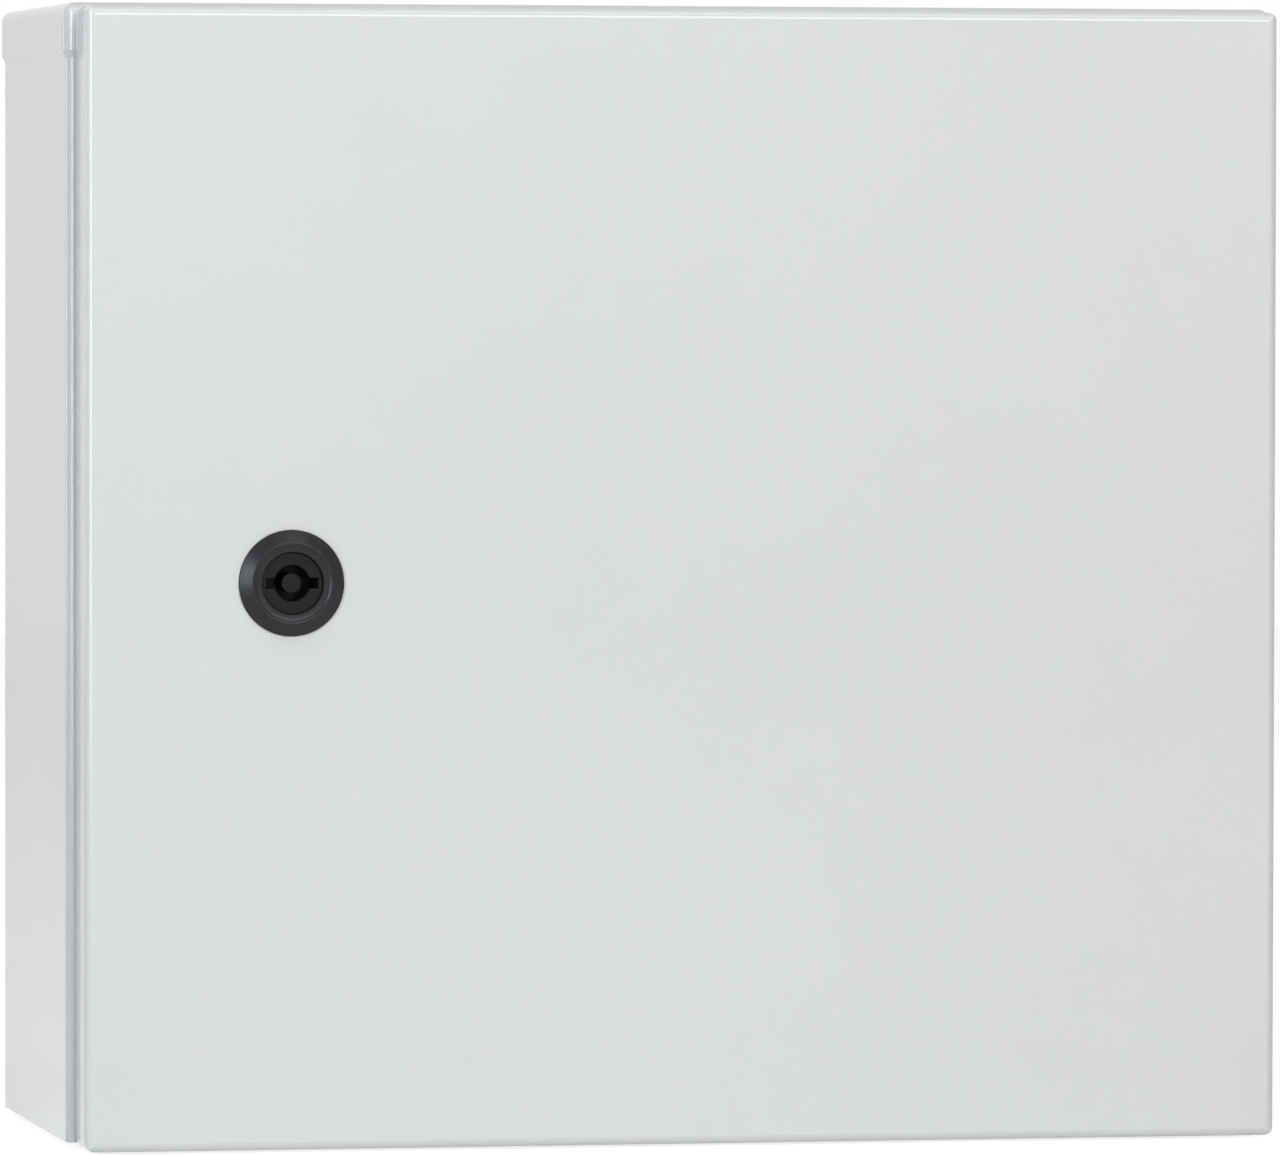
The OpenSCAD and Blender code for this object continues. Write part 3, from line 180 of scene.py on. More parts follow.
def build_floor():
    """Pale floor that takes the shadow. From below it is clear, so the underside can be seen."""
    half, z = FLOOR_SIZE / 2, CAD_BOX[0][2]
    mesh = bpy.data.meshes.new("floor")
    mesh.from_pydata([(-half, -half, z), (half, -half, z), (half, half, z), (-half, half, z)],
                     [], [(0, 1, 2, 3)])
    floor = bpy.data.objects.new("floor", mesh)
    bpy.context.collection.objects.link(floor)
    paper = bpy.data.materials.new("floor paper")
    tree = emptied(paper)
    diffuse = add_node(tree, "ShaderNodeBsdfDiffuse", {
        "Color": (FLOOR_TONE, FLOOR_TONE, FLOOR_TONE, 1.0)})
    dim = add_node(tree, "ShaderNodeMath", {0: seen_rays(tree), 1: FLOOR_GLOW},
                   operation="MULTIPLY")
    glow = add_node(tree, "ShaderNodeEmission", {"Strength": dim.outputs[0]})
    above = add_node(tree, "ShaderNodeAddShader", {0: diffuse.outputs[0], 1: glow.outputs[0]})
    below = add_node(tree, "ShaderNodeBsdfTransparent")
    behind = add_node(tree, "ShaderNodeNewGeometry").outputs["Backfacing"]
    both = add_node(tree, "ShaderNodeMixShader", {
        0: behind, 1: above.outputs[0], 2: below.outputs[0]})
    add_node(tree, "ShaderNodeOutputMaterial", {"Surface": both.outputs[0]})
    mesh.materials.append(paper)


# ---------------------------------------------------------------- shared shader effects

class Effect:
    """A shader node group under construction, with named inputs and outputs."""

    def __init__(self, name, inputs, outputs):
        self.tree = bpy.data.node_groups.new(name, "ShaderNodeTree")
        for label, value in inputs.items():
            kind = "NodeSocketVector" if value is None else "NodeSocketFloat"
            socket = self.tree.interface.new_socket(label, in_out="INPUT", socket_type=kind)
            if value is not None:
                socket.default_value = value
        for label in outputs:
            self.tree.interface.new_socket(label, in_out="OUTPUT", socket_type="NodeSocketFloat")
        self.given = self.tree.nodes.new("NodeGroupInput").outputs
        self.result = self.tree.nodes.new("NodeGroupOutput").inputs

    def add(self, kind, inputs=None, **settings):
        """A new node of the group."""
        return add_node(self.tree, kind, inputs, **settings)

    def math(self, operation, first, second, clamp=False):
        """The result of a sum with two values."""
        node = self.add("ShaderNodeMath", {0: first, 1: second}, operation=operation)
        node.use_clamp = clamp
        return node.outputs[0]

    def give(self, label, source):
        """Leads a value to the group's output of that name."""
        link(self.tree, source, self.result[label])


def make_orange_peel():
    """Powder coat's skin: broad shallow waves with a finer ripple on them."""
    e = Effect("orange peel", {"Vector": None, "Wave": 1.6 * MM, "Ripple": 0.35}, ["Height"])
    scale = e.math("DIVIDE", 1.0, e.given["Wave"])
    broad = e.add("ShaderNodeTexNoise", {"Vector": e.given["Vector"], "Scale": scale,
                                         "Detail": 1.0, "Roughness": 0.4})
    fine_scale = e.math("MULTIPLY", scale, 3.1)
    fine = e.add("ShaderNodeTexNoise", {"Vector": e.given["Vector"], "Scale": fine_scale,
                                        "Detail": 0.0})
    ripple = e.math("MULTIPLY", fine.outputs["Fac"], e.given["Ripple"])
    e.give("Height", e.math("ADD", broad.outputs["Fac"], ripple))
    return e.tree


def make_mottle():
    """Slow variation over a surface, from Low to High, in patches of the given size."""
    e = Effect("mottle", {"Vector": None, "Size": 40 * MM, "Low": 0.0, "High": 1.0}, ["Value"])
    noise = e.add("ShaderNodeTexNoise", {"Vector": e.given["Vector"],
                                         "Scale": e.math("DIVIDE", 1.0, e.given["Size"]),
                                         "Detail": 3.0, "Roughness": 0.55})
    spread = e.add("ShaderNodeMapRange", {"Value": noise.outputs["Fac"], "From Min": 0.25,
                                          "From Max": 0.75, "To Min": e.given["Low"],
                                          "To Max": e.given["High"]})
    e.give("Value", spread.outputs["Result"])
    return e.tree


def make_spangle():
    """Zinc crystals: cells with one random value each, and a slight tilt of their height."""
    e = Effect("zinc spangle", {"Vector": None, "Size": 5 * MM}, ["Value", "Height"])
    cells = e.add("ShaderNodeTexVoronoi", {"Vector": e.given["Vector"],
                                           "Scale": e.math("DIVIDE", 1.0, e.given["Size"]),
                                           "Randomness": 1.0})
    split = e.add("ShaderNodeSeparateColor", {"Color": cells.outputs["Color"]})
    e.give("Value", split.outputs["Red"])
    e.give("Height", e.math("MULTIPLY", cells.outputs["Distance"], split.outputs["Green"]))
    return e.tree


def make_grain():
    """Fine even grain, as on moulded plastic and rolled metal."""
    e = Effect("fine grain", {"Vector": None, "Size": 0.3 * MM}, ["Height"])
    noise = e.add("ShaderNodeTexNoise", {"Vector": e.given["Vector"],
                                         "Scale": e.math("DIVIDE", 1.0, e.given["Size"]),
                                         "Detail": 2.0, "Roughness": 0.6})
    e.give("Height", noise.outputs["Fac"])
    return e.tree


def make_dust():
    """Mask of dust on faces that look up, thinned by noise."""
    e = Effect("settled dust", {"Vector": None, "Amount": 0.3}, ["Mask"])
    normal = e.add("ShaderNodeNewGeometry").outputs["Normal"]
    up = e.add("ShaderNodeSeparateXYZ", {"Vector": normal}).outputs["Z"]
    noise = e.add("ShaderNodeTexNoise", {"Vector": e.given["Vector"], "Scale": 90.0,
                                         "Detail": 4.0, "Roughness": 0.7})
    facing = e.math("SUBTRACT", up, 0.5, clamp=True)
    patch = e.math("MULTIPLY", facing, noise.outputs["Fac"])
    e.give("Mask", e.math("MULTIPLY", patch, e.given["Amount"], clamp=True))
    return e.tree


ORANGE_PEEL, MOTTLE, SPANGLE = make_orange_peel(), make_mottle(), make_spangle()
GRAIN, DUST = make_grain(), make_dust()
DUST_COLOUR = (0.42, 0.40, 0.37, 1.0)


# ---------------------------------------------------------------- materials

CHARACTER_WIDTH, CHARACTER_HEIGHT, CHARACTER_GAP = 3.55 * MM, 6.0 * MM, 0.35 * MM


class Finish:
    """A material under construction: its tree, its Principled BSDF and its coordinates."""

    def __init__(self, name, colour, roughness, **constants):
        self.material = bpy.data.materials.new(name)
        self.material.use_nodes = True
        self.tree = self.material.node_tree
        self.shader = self.tree.nodes["Principled BSDF"]
        self.set("Base Color", (*colour[:3], 1.0))
        self.set("Roughness", roughness)
        for label, value in constants.items():
            self.set(label.replace("_", " "), value)
        self.place = self.add("ShaderNodeTexCoord").outputs["Object"]

    def add(self, kind, inputs=None, **settings):
        """A new node of the material."""
        return add_node(self.tree, kind, inputs, **settings)

    def set(self, label, value):
        """Gives an input of the shader a plain value."""
        self.shader.inputs[label].default_value = value

    def join(self, label, source):
        """Leads a colour, value or normal to an input of the shader."""
        link(self.tree, source, self.shader.inputs[label])

    def effect(self, group, output, vector=None, **inputs):
        """An output of a shared effect, placed with this material's own values."""
        node = self.add("ShaderNodeGroup", node_tree=group)
        link(self.tree, vector or self.place, node.inputs["Vector"])
        for label, value in inputs.items():
            node.inputs[label].default_value = value
        return node.outputs[output]

    def scaled(self, factors):
        """Object coordinates stretched along each axis."""
        return self.add("ShaderNodeMapping", {"Vector": self.place,
                                              "Scale": factors}).outputs["Vector"]

    def bump(self, height, depth):
        """A normal from a height, whose full range is the given depth in metres."""
        return self.add("ShaderNodeBump", {"Height": height, "Distance": depth,
                                           "Strength": 1.0}).outputs["Normal"]

    def tint(self, mask, first, second):
        """Colour that goes from the first to the second by a mask."""
        mix = self.add("ShaderNodeMix", data_type="RGBA")
        link(self.tree, mask, mix.inputs["Factor"])
        for socket, colour in ((mix.inputs[6], first), (mix.inputs[7], second)):
            if isinstance(colour, bpy.types.NodeSocket):
                link(self.tree, colour, socket)
            else:
                socket.default_value = colour
        return mix.outputs[2]

    def dusted(self, colour, amount):
        """The colour with dust on the faces that look up."""
        return self.tint(self.effect(DUST, "Mask", Amount=amount), colour, DUST_COLOUR)


def shade(colour, factor):
    """The colour times a factor, opaque."""
    return (*[min(1.0, c * factor) for c in colour[:3]], 1.0)


def powder_coat(name, colour, roughness=0.11, wave=1.3 * MM, depth=0.020 * MM):
    """Polyester powder coat: orange peel, slight variation of tone and gloss."""
    f = Finish(name, colour, roughness, Specular_IOR_Level=0.5)
    f.join("Roughness", f.effect(MOTTLE, "Value", Size=55 * MM, Low=roughness - 0.02,
                                 High=roughness + 0.02))
    tone = f.effect(MOTTLE, "Value", Size=90 * MM)
    f.join("Base Color", f.tint(tone, shade(colour, 0.985), shade(colour, 1.008)))
    f.join("Normal", f.bump(f.effect(ORANGE_PEEL, "Height", Wave=wave), depth))
    return f.material


def galvanised(name, colour, roughness=0.38, size=6 * MM):
    """Hot-dip galvanised sheet: crystals that differ in tone and gloss."""
    f = Finish(name, colour, roughness, Metallic=1.0)
    crystal = f.effect(SPANGLE, "Value", Size=size)
    f.join("Base Color", f.dusted(f.tint(crystal, shade(colour, 0.86), shade(colour, 1.12)), 0.3))
    gloss = f.add("ShaderNodeMapRange", {"Value": crystal, "To Min": roughness - 0.05,
                                         "To Max": roughness + 0.10})
    f.join("Roughness", gloss.outputs["Result"])
    f.join("Normal", f.bump(f.effect(SPANGLE, "Height", Size=size), 0.05 * MM))
    return f.material


def plated_steel(name, colour, roughness=0.30, along=(400.0, 400.0, 2500.0)):
    """Bright zinc or brass: fine drawing lines and slow tarnish."""
    f = Finish(name, colour, roughness, Metallic=1.0)
    tarnish = f.effect(MOTTLE, "Value", Size=7 * MM)
    f.join("Base Color", f.tint(tarnish, shade(colour, 0.88), shade(colour, 1.08)))
    lines = f.effect(GRAIN, "Height", vector=f.scaled(along), Size=1.0)
    gloss = f.add("ShaderNodeMapRange", {"Value": lines, "To Min": roughness - 0.06,
                                         "To Max": roughness + 0.10})
    f.join("Roughness", gloss.outputs["Result"])
    f.join("Normal", f.bump(lines, 0.008 * MM))
    return f.material


def moulded(name, colour, roughness=0.45, grain=0.25 * MM, depth=0.012 * MM, dust=0.25,
            **constants):
    """Injection-moulded plastic: fine spark-eroded grain and a trace of dust."""
    f = Finish(name, colour, roughness, **constants)
    tone = f.effect(MOTTLE, "Value", Size=18 * MM)
    f.join("Base Color", f.dusted(f.tint(tone, shade(colour, 0.92), shade(colour, 1.06)), dust))
    f.join("Roughness", f.effect(MOTTLE, "Value", Size=9 * MM, Low=roughness - 0.04,
                                 High=roughness + 0.05))
    f.join("Normal", f.bump(f.effect(GRAIN, "Height", Size=grain), depth))
    return f.material


def foam(name, colour, pores_per_metre=1100.0):
    """Open foam over a soft body: small pores with painted shade that darkens their middles and
    lightens the rims between, and the same pores as bumps.
    """
    f = Finish(name, colour, 0.9)
    pore_shade_and_depth = f.add("ShaderNodeTexVoronoi", {"Vector": f.place, "Scale": pores_per_metre},
                  feature="SMOOTH_F1").outputs["Distance"]
    # painted shade: the base colour falls to 0.45 of the foam's colour in each pore's middle and
    # rises to 1.5 on the rims between
    f.join("Base Color", f.tint(pore_shade_and_depth, shade(colour, 0.45), shade(colour, 1.5)))
    f.join("Normal", f.bump(pore_shade_and_depth, 0.25 * MM))
    return f.material


def circuit_board(name, colour, cells_per_metre=190.0, band=0.22):
    """Solder mask over copper: a raised maze of tracks, lighter where copper lies below."""
    f = Finish(name, colour, 0.25, Coat_Weight=0.3, Coat_Roughness=0.12)
    flat = f.add("ShaderNodeVectorMath", {0: f.place, 1: (1.0, 0.0, 1.0)},
                 operation="MULTIPLY").outputs[0]
    cells = f.add("ShaderNodeTexVoronoi", {"Vector": flat, "Scale": cells_per_metre,
                                           "Randomness": 0.55},
                  distance="MANHATTAN", feature="F1")
    bands = f.add("ShaderNodeMath", {0: cells.outputs["Distance"], 1: band},
                  operation="PINGPONG").outputs[0]
    track = f.add("ShaderNodeMapRange", {"Value": bands, "From Min": 0.10, "From Max": 0.12},
                  interpolation_type="SMOOTHSTEP").outputs["Result"]
    f.join("Base Color", f.dusted(f.tint(track, shade(colour, 0.80), shade(colour, 1.55)), 0.2))
    f.join("Normal", f.bump(track, 0.03 * MM))
    return f.material


def clear(name, colour, roughness=0.05):
    """Clear glass or acrylic."""
    f = Finish(name, colour, roughness, Transmission_Weight=1.0, IOR=1.49)
    f.join("Roughness", f.effect(MOTTLE, "Value", Size=12 * MM, Low=roughness * 0.5,
                                 High=roughness * 1.5))
    f.join("Normal", f.bump(f.effect(GRAIN, "Height", Size=2 * MM), 0.002 * MM))
    return f.material


def lock_plastic(name, colour, roughness, gloss=0.28):
    """Glass-filled polyamide of the lock: satin, with a faint turned texture."""
    f = Finish(name, colour, roughness, Specular_IOR_Level=gloss,
               Specular_Tint=(0.90, 0.94, 1.0, 1.0))
    tone = f.effect(MOTTLE, "Value", Size=5 * MM)
    f.join("Base Color", f.tint(tone, shade(colour, 0.85), shade(colour, 1.15)))
    f.join("Roughness", f.effect(MOTTLE, "Value", Size=3 * MM, Low=roughness - 0.03,
                                 High=roughness + 0.05))
    f.join("Normal", f.bump(f.effect(GRAIN, "Height", Size=0.22 * MM), 0.012 * MM))
    return f.material


def display_glass(name, colour):
    """Reflective display: a yellow-green field with faint character cells."""
    f = Finish(name, colour, 0.30, Coat_Weight=0.5, Coat_Roughness=0.08)
    flat = f.add("ShaderNodeVectorMath", {0: f.place, 1: (1.0, 0.0, 1.0)},
                 operation="MULTIPLY").outputs[0]
    turned = f.add("ShaderNodeMapping", {"Vector": flat,
                                         "Rotation": (math.radians(-90), 0.0, 0.0)})
    cells = f.add("ShaderNodeTexBrick", {
        "Vector": turned.outputs["Vector"], "Color1": (1, 1, 1, 1), "Color2": (1, 1, 1, 1),
        "Mortar": (0, 0, 0, 1), "Scale": 1.0, "Mortar Size": CHARACTER_GAP,
        "Brick Width": CHARACTER_WIDTH, "Row Height": CHARACTER_HEIGHT}, offset=0.0, squash=1.0)
    f.join("Base Color", f.tint(cells.outputs["Color"], shade(colour, 1.12),
                                shade(colour, 0.88)))
    f.join("Normal", f.bump(f.effect(GRAIN, "Height", Size=1 * MM), 0.004 * MM))
    return f.material


def key_cap(name, colour):
    """The glossy cap of a key."""
    return moulded(name, colour, roughness=0.32, grain=0.3 * MM, depth=0.006 * MM, dust=0.1)


SLOT_COLOUR = {m["slot"]: m["base_color"] for m in frame["record"]["materials"]}
MAKERS = {
    "body_paint": powder_coat,
    "door_paint": powder_coat,
    "zinc_sheet": galvanised,
    "tray_sheet": galvanised,
    "steel": plated_steel,
    "dark_steel": plated_steel,
    "brass": plated_steel,
    "cam_zinc": plated_steel,
    "aluminium_case": lambda n, c: plated_steel(n, c, roughness=0.34,
                                                along=(150.0, 3000.0, 3000.0)),
    "lock_black": lambda n, c: lock_plastic(n, c, roughness=0.28),
    "core_black": lambda n, c: lock_plastic(n, c, roughness=0.34, gloss=0.13),
    "foam": foam,
    "rubber": lambda n, c: moulded(n, c, roughness=0.72, grain=0.4 * MM, depth=0.02 * MM),
    "board_green": circuit_board,
    "fuse_glass": clear,
    "window_clear": clear,
    "display_green": display_glass,
    "lamp_red": lambda n, c: moulded(n, c, roughness=0.12, grain=1 * MM, depth=0.002 * MM,
                                     dust=0.0, Coat_Weight=0.6),
    "capacitor_sleeve": lambda n, c: moulded(n, c, roughness=0.22, grain=1 * MM,
                                             depth=0.004 * MM),
    "button_red": key_cap,
    "button_white": key_cap,
    "button_blue": key_cap,
}
FINISHES = {slot: MAKERS.get(slot, moulded)(slot.replace("_", " "), colour)
            for slot, colour in SLOT_COLOUR.items()}


def dress_nodes():
    """Gives every CAD node the finish of its slot."""
    for part in frame["record"]["subparts"]:
        mesh = frame["nodes"][part["node"]].data
        mesh.materials.clear()
        mesh.materials.append(FINISHES[part["material_slot"]])


# ---------------------------------------------------------------- surfaces on grids

def grid_faces(rows, columns, loop):
    """Quads between neighbouring points of a grid whose columns close in a ring; with loop, the
    last row joins the first as well."""
    i = np.arange(rows if loop else rows - 1)[:, None]
    j = np.arange(columns)[None, :]
    below, right = (i + 1) % rows, (j + 1) % columns
    return np.stack([i * columns + j, i * columns + right,
                     below * columns + right, below * columns + j], -1).reshape(-1, 4)


def skin(points, loop=False):
    """A part (points, faces) from a grid of points, rows by columns by 3."""
    rows, columns = points.shape[:2]
    return points.reshape(-1, 3), grid_faces(rows, columns, loop)


def copies(part, places):
    """The part repeated: its points plus each place, its faces numbered on."""
    points, faces = part
    places = np.atleast_2d(places)
    moved = (points[None] + places[:, None]).reshape(-1, 3)
    numbers = faces[None] + np.arange(len(places))[:, None, None] * len(points)
    return moved, numbers.reshape(-1, faces.shape[1])


def towards_door(points):
    """Turns a drawing across (a, b) with height h into X = a, Z = b, Y = -h."""
    return np.stack([points[..., 0], -points[..., 2], points[..., 1]], -1)


def around(columns):
    """The angles of a turned grid's columns, once round."""
    return np.linspace(0, 2 * np.pi, columns, endpoint=False)


def turned_grid(radius, height, columns):
    """Body of revolution: point (r cos t, r sin t, h), where r and h are one number for each row
    or one for each row and column, and t runs once round."""
    radius, height = np.asarray(radius, float), np.asarray(height, float)
    rows, t = max(len(radius), len(height)), around(columns)
    radius = np.broadcast_to(radius.reshape(rows, -1), (rows, columns))
    height = np.broadcast_to(height.reshape(rows, -1), (rows, columns))
    return np.stack([radius * np.cos(t), radius * np.sin(t), height], -1)


def round_outline(width, height, radius, steps):
    """Ring of a rectangle with round corners: corner centre plus radius times (cos t, sin t)."""
    t = np.arange(4)[:, None] * np.pi / 2 + np.linspace(0, np.pi / 2, steps + 1)[None]
    side = np.array([[1, 1], [-1, 1], [-1, -1], [1, -1]])[:, None]
    reach = np.array([width / 2 - radius, height / 2 - radius])
    ring = side * reach + radius * np.stack([np.cos(t), np.sin(t)], -1)
    return ring.reshape(-1, 2)


def block(width, height, radius, levels, steps=3):
    """Stacked rings of one round-cornered rectangle. Each level is (h, inset); the first and the
    last ring close on the middle."""
    rings = []
    for h, inset in [(levels[0][0], None)] + list(levels) + [(levels[-1][0], None)]:
        if inset is None:
            ring = np.zeros(((steps + 1) * 4, 2))
        else:
            ring = round_outline(width - 2 * inset, height - 2 * inset,
                                 max(radius - inset, radius * 0.2), steps)
        rings.append(np.concatenate([ring, np.full((len(ring), 1), h)], 1))
    return skin(towards_door(np.stack(rings)))


def soft_block(width, height, depth, edge, steps=2):
    """A block along Y with its front edges rounded: the inset falls as a quarter circle."""
    a = np.linspace(0, np.pi / 2, steps + 1)
    levels = [(0.0, 0.0)] + [(depth - edge + edge * math.sin(s), edge - edge * math.cos(s))
                             for s in a]
    return block(width, height, edge, levels, steps)


THREAD_STEPS = 6        # rows of points to one pitch


def thread(height, radius, pitch, depth, columns):
    """Radius of a screw thread at the given heights, all the way round: radius - depth *
    |2 f - 1|, where f is the fraction of h / pitch - t / 2 pi."""
    phase = (height / pitch - around(columns)[None] / (2 * np.pi)) % 1.0
    return radius - depth * np.abs(2 * phase - 1)


def threaded_rod(radius, pitch, length, depth, columns=24):
    """Screw thread along Y, whose last pitch tapers by the distance to the end."""
    h = np.linspace(0, length, int(length / pitch * THREAD_STEPS) + 1)[:, None]
    tip_r, taper = radius - pitch * 0.6, 0.8
    r = np.minimum(thread(h, radius, pitch, depth, columns), tip_r + (length - h) * taper)
    h = np.broadcast_to(h, r.shape)
    r = np.concatenate([0 * r[:1], r, 0 * r[:1]])
    h = np.concatenate([h[:1], h, h[-1:]])
    return skin(towards_door(turned_grid(r, h, columns)))


def hexagon(flats, columns):
    """Distance from the middle to a hexagon's side: half the flats over the cosine of the angle
    from the nearest flat."""
    from_flat = (around(columns) % (np.pi / 3)) - np.pi / 6
    return flats / 2 / np.cos(from_flat)


NUT_FACE = 0.475        # radius of a nut's round face, as a share of its width across flats
NUT_CONE = math.radians(30)


def nut(flats, thickness, bore, columns=72):
    """Hexagonal nut round a bore, its corners cut by a cone at both faces."""
    hexa, face_r = hexagon(flats, columns), flats * NUT_FACE
    face = np.minimum(hexa, face_r)
    drop = (hexa - face_r) * math.tan(NUT_CONE)
    inner = np.full(columns, bore)
    r = np.stack([inner, face, hexa, hexa, face, inner])
    zero = np.zeros(columns)
    h = np.stack([zero, zero, drop, thickness - drop, zero + thickness, zero + thickness])
    return skin(towards_door(turned_grid(r, h, columns)), loop=True)


def ring(outer, inner, thickness, edge=0.1 * MM, columns=32):
    """Washer with its outer edges broken."""
    r = [inner, outer - edge, outer, outer, outer - edge, inner]
    h = [0, 0, edge, thickness - edge, thickness, thickness]
    return skin(towards_door(turned_grid(r, h, columns)), loop=True)


HEAD_TOP = 0.86         # size of a slotted head's top against its base
HALF_MIDDLE = 0.35      # from the slot to the middle of a half disc, as a share of its radius


def half_disc(radius, slot, height, base, dome):
    """One half of a slotted screw head: an arc and its chord beside the slot, stacked along Y,
    its top drawn in by the dome."""
    start = math.asin(slot / 2 / radius)
    t = np.linspace(start, math.pi - start, 13)
    arc = np.stack([radius * np.cos(t), radius * np.sin(t)], -1)
    middle = np.array([0.0, slot / 2 + radius * HALF_MIDDLE])
    rings = []
    for h, share in ((base, 0.0), (base, 1.0), (height - dome, 1.0), (height, HEAD_TOP),
                     (height, 0.0)):
        flat = middle + (arc - middle) * share
        rings.append(np.concatenate([flat, np.full((len(flat), 1), h)], 1))
    return skin(towards_door(np.stack(rings)))


def slotted_head(radius, height, slot):
    """Cheese head with a straight slot across: a base disc and two half discs on it."""
    floor, dome = height * 0.4, height * 0.2
    disc = skin(towards_door(turned_grid([0, radius, radius, 0], [0, 0, floor, floor], 24)))
    upper = half_disc(radius, slot, height, floor * 0.5, dome)
    lower = (upper[0] * np.array([1, 1, -1]), upper[1])
    return joined(disc, upper, lower)


def joined(*parts):
    """Several parts with faces of the same kind as one."""
    start = np.cumsum([0] + [len(points) for points, _ in parts[:-1]])
    return (np.concatenate([points for points, _ in parts]),
            np.concatenate([faces + s for (_, faces), s in zip(parts, start)]))


MADE_DOUBLES, CAD_DOUBLES = 1e-7, 1e-6      # distance at which points of a mesh are merged


def piece(name, part, body, slot, *replaced, sharp=35):
    """A finished object: doubles merged, normals outwards, smooth up to the sharp angle."""
    mesh = bpy.data.meshes.new(name)
    mesh.from_pydata(part[0].tolist(), [], part[1].tolist())
    bm = bmesh.new()
    bm.from_mesh(mesh)
    bmesh.ops.remove_doubles(bm, verts=bm.verts, dist=MADE_DOUBLES)
    bmesh.ops.recalc_face_normals(bm, faces=bm.faces)
    bm.to_mesh(mesh)
    bm.free()
    return finished(name, mesh, body, slot, *replaced, sharp=sharp)


def finished(name, mesh, body, slot, *replaced, sharp=35):
    """Shades a mesh, gives it its slot's finish and hangs it on its body."""
    mesh.polygons.foreach_set("use_smooth", np.ones(len(mesh.polygons), bool))
    mesh.set_sharp_from_angle(angle=math.radians(sharp))
    mesh.materials.append(FINISHES[slot])
    made = bpy.data.objects.new(name, mesh)
    bpy.context.collection.objects.link(made)
    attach(made, body)
    if replaced:
        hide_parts(*replaced)
    return made


FLAT_WITHIN = math.radians(0.5)         # faces this close to one plane are joined
ROUNDED_FROM = math.radians(40)         # edges sharper than this are rounded


def softened(node, body, slot, width):
    """A copy of a CAD node with its sharp edges rounded: merged, flat faces joined, bevelled."""
    mesh = frame["nodes"][node].data.copy()
    mesh.materials.clear()
    bm = bmesh.new()
    bm.from_mesh(mesh)
    bmesh.ops.remove_doubles(bm, verts=bm.verts, dist=CAD_DOUBLES)
    bmesh.ops.dissolve_limit(bm, angle_limit=FLAT_WITHIN, verts=bm.verts, edges=bm.edges)
    bm.to_mesh(mesh)
    bm.free()
    made = finished("soft_" + node, mesh, body, slot, node, sharp=50)
    bevel = made.modifiers.new("round edges", "BEVEL")
    bevel.width, bevel.segments = width, 2
    bevel.limit_method, bevel.angle_limit = "ANGLE", ROUNDED_FROM
    bevel.harden_normals = False
    return made


# ---------------------------------------------------------------- door and lock

def size_of(node):
    """A node's lowest corner, highest corner and middle, as arrays."""
    low, high = (np.array(corner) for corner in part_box(node))
    return low, high, (low + high) / 2


SEAL_BEAD, SEAL_CORNER = 8.5 * MM, 10.7 * MM
SEAL_FLANK = 0.62                           # height of the bead's sides against its top
SEAL_GROOVE, GROOVE_WIDTH = 0.10, 0.22      # against the bead's height and half its width


def make_door_seal():
    """Foamed seal round the door's inside: a bead with a domed face, and the groove that the rain
    lip has pressed in it. Each row is an outline of the door's seal drawn out by an offset."""
    low, high, middle = size_of("door_gasket")
    thick = high[1] - low[1]
    width, height = high[0] - low[0], high[2] - low[2]
    s = np.linspace(-1, 1, 17)
    dome = thick * (SEAL_FLANK + (1 - SEAL_FLANK) * np.sqrt(np.clip(1 - s ** 4, 0, 1)))
    groove = SEAL_GROOVE * thick * np.exp(-(s / GROOVE_WIDTH) ** 2)
    offset = np.concatenate([[-1.0], s, [1.0]])
    front = np.concatenate([[0.0], dome - groove, [0.0]])
    rings = []
    for o, h in zip(offset, front):
        inset = SEAL_BEAD / 2 * (1 - o)
        outline = round_outline(width - 2 * inset, height - 2 * inset, SEAL_CORNER - inset,
                                steps=8)
        rings.append(np.stack([outline[:, 0] + middle[0], np.full(len(outline), low[1] + h),
                               outline[:, 1] + middle[2]], -1))
    piece("door_foam_seal", skin(np.stack(rings), loop=True), "door", "foam", "door_gasket")


LOCK_BORE, LOCK_FACE_R = 8.05 * MM, 10 * MM
BARREL_R, BARREL_FLATS, BARREL_END_R = 10.98 * MM, 20 * MM, 10.2 * MM
BARREL_PITCH, BARREL_DEPTH, BARREL_COLUMNS = 1.0 * MM, 0.45 * MM, 96


def bezel_profile(bezel_r, bezel_h):
    """Radii and heights from the bore's mouth over the flat ring and the cone to the rim, and in
    under the bezel. The pairs are in millimetres, from the bore or the ring and from the front."""
    mouth = [(0.0, -0.9), (0.25, -0.5)]
    ring_edge = [(-0.5, -0.5), (-0.1, -0.40), (0.15, -0.20), (0.55, -0.04), (0.9, -0.16)]
    rim, rim_h = 0.35 * MM, 0.45 * MM
    rows = [(LOCK_BORE + r * MM, bezel_h + h * MM) for r, h in mouth]
    rows += [(LOCK_FACE_R + r * MM, bezel_h + h * MM) for r, h in ring_edge]
    rows += [(bezel_r - rim + rim * math.sin(a), rim_h + rim * math.cos(a))
             for a in np.linspace(0, np.pi / 2, 4)]
    rows += [(bezel_r, 0.2 * MM), (bezel_r - 0.3 * MM, 0.0), (11.2 * MM, 0.0)]
    return np.array(rows).T


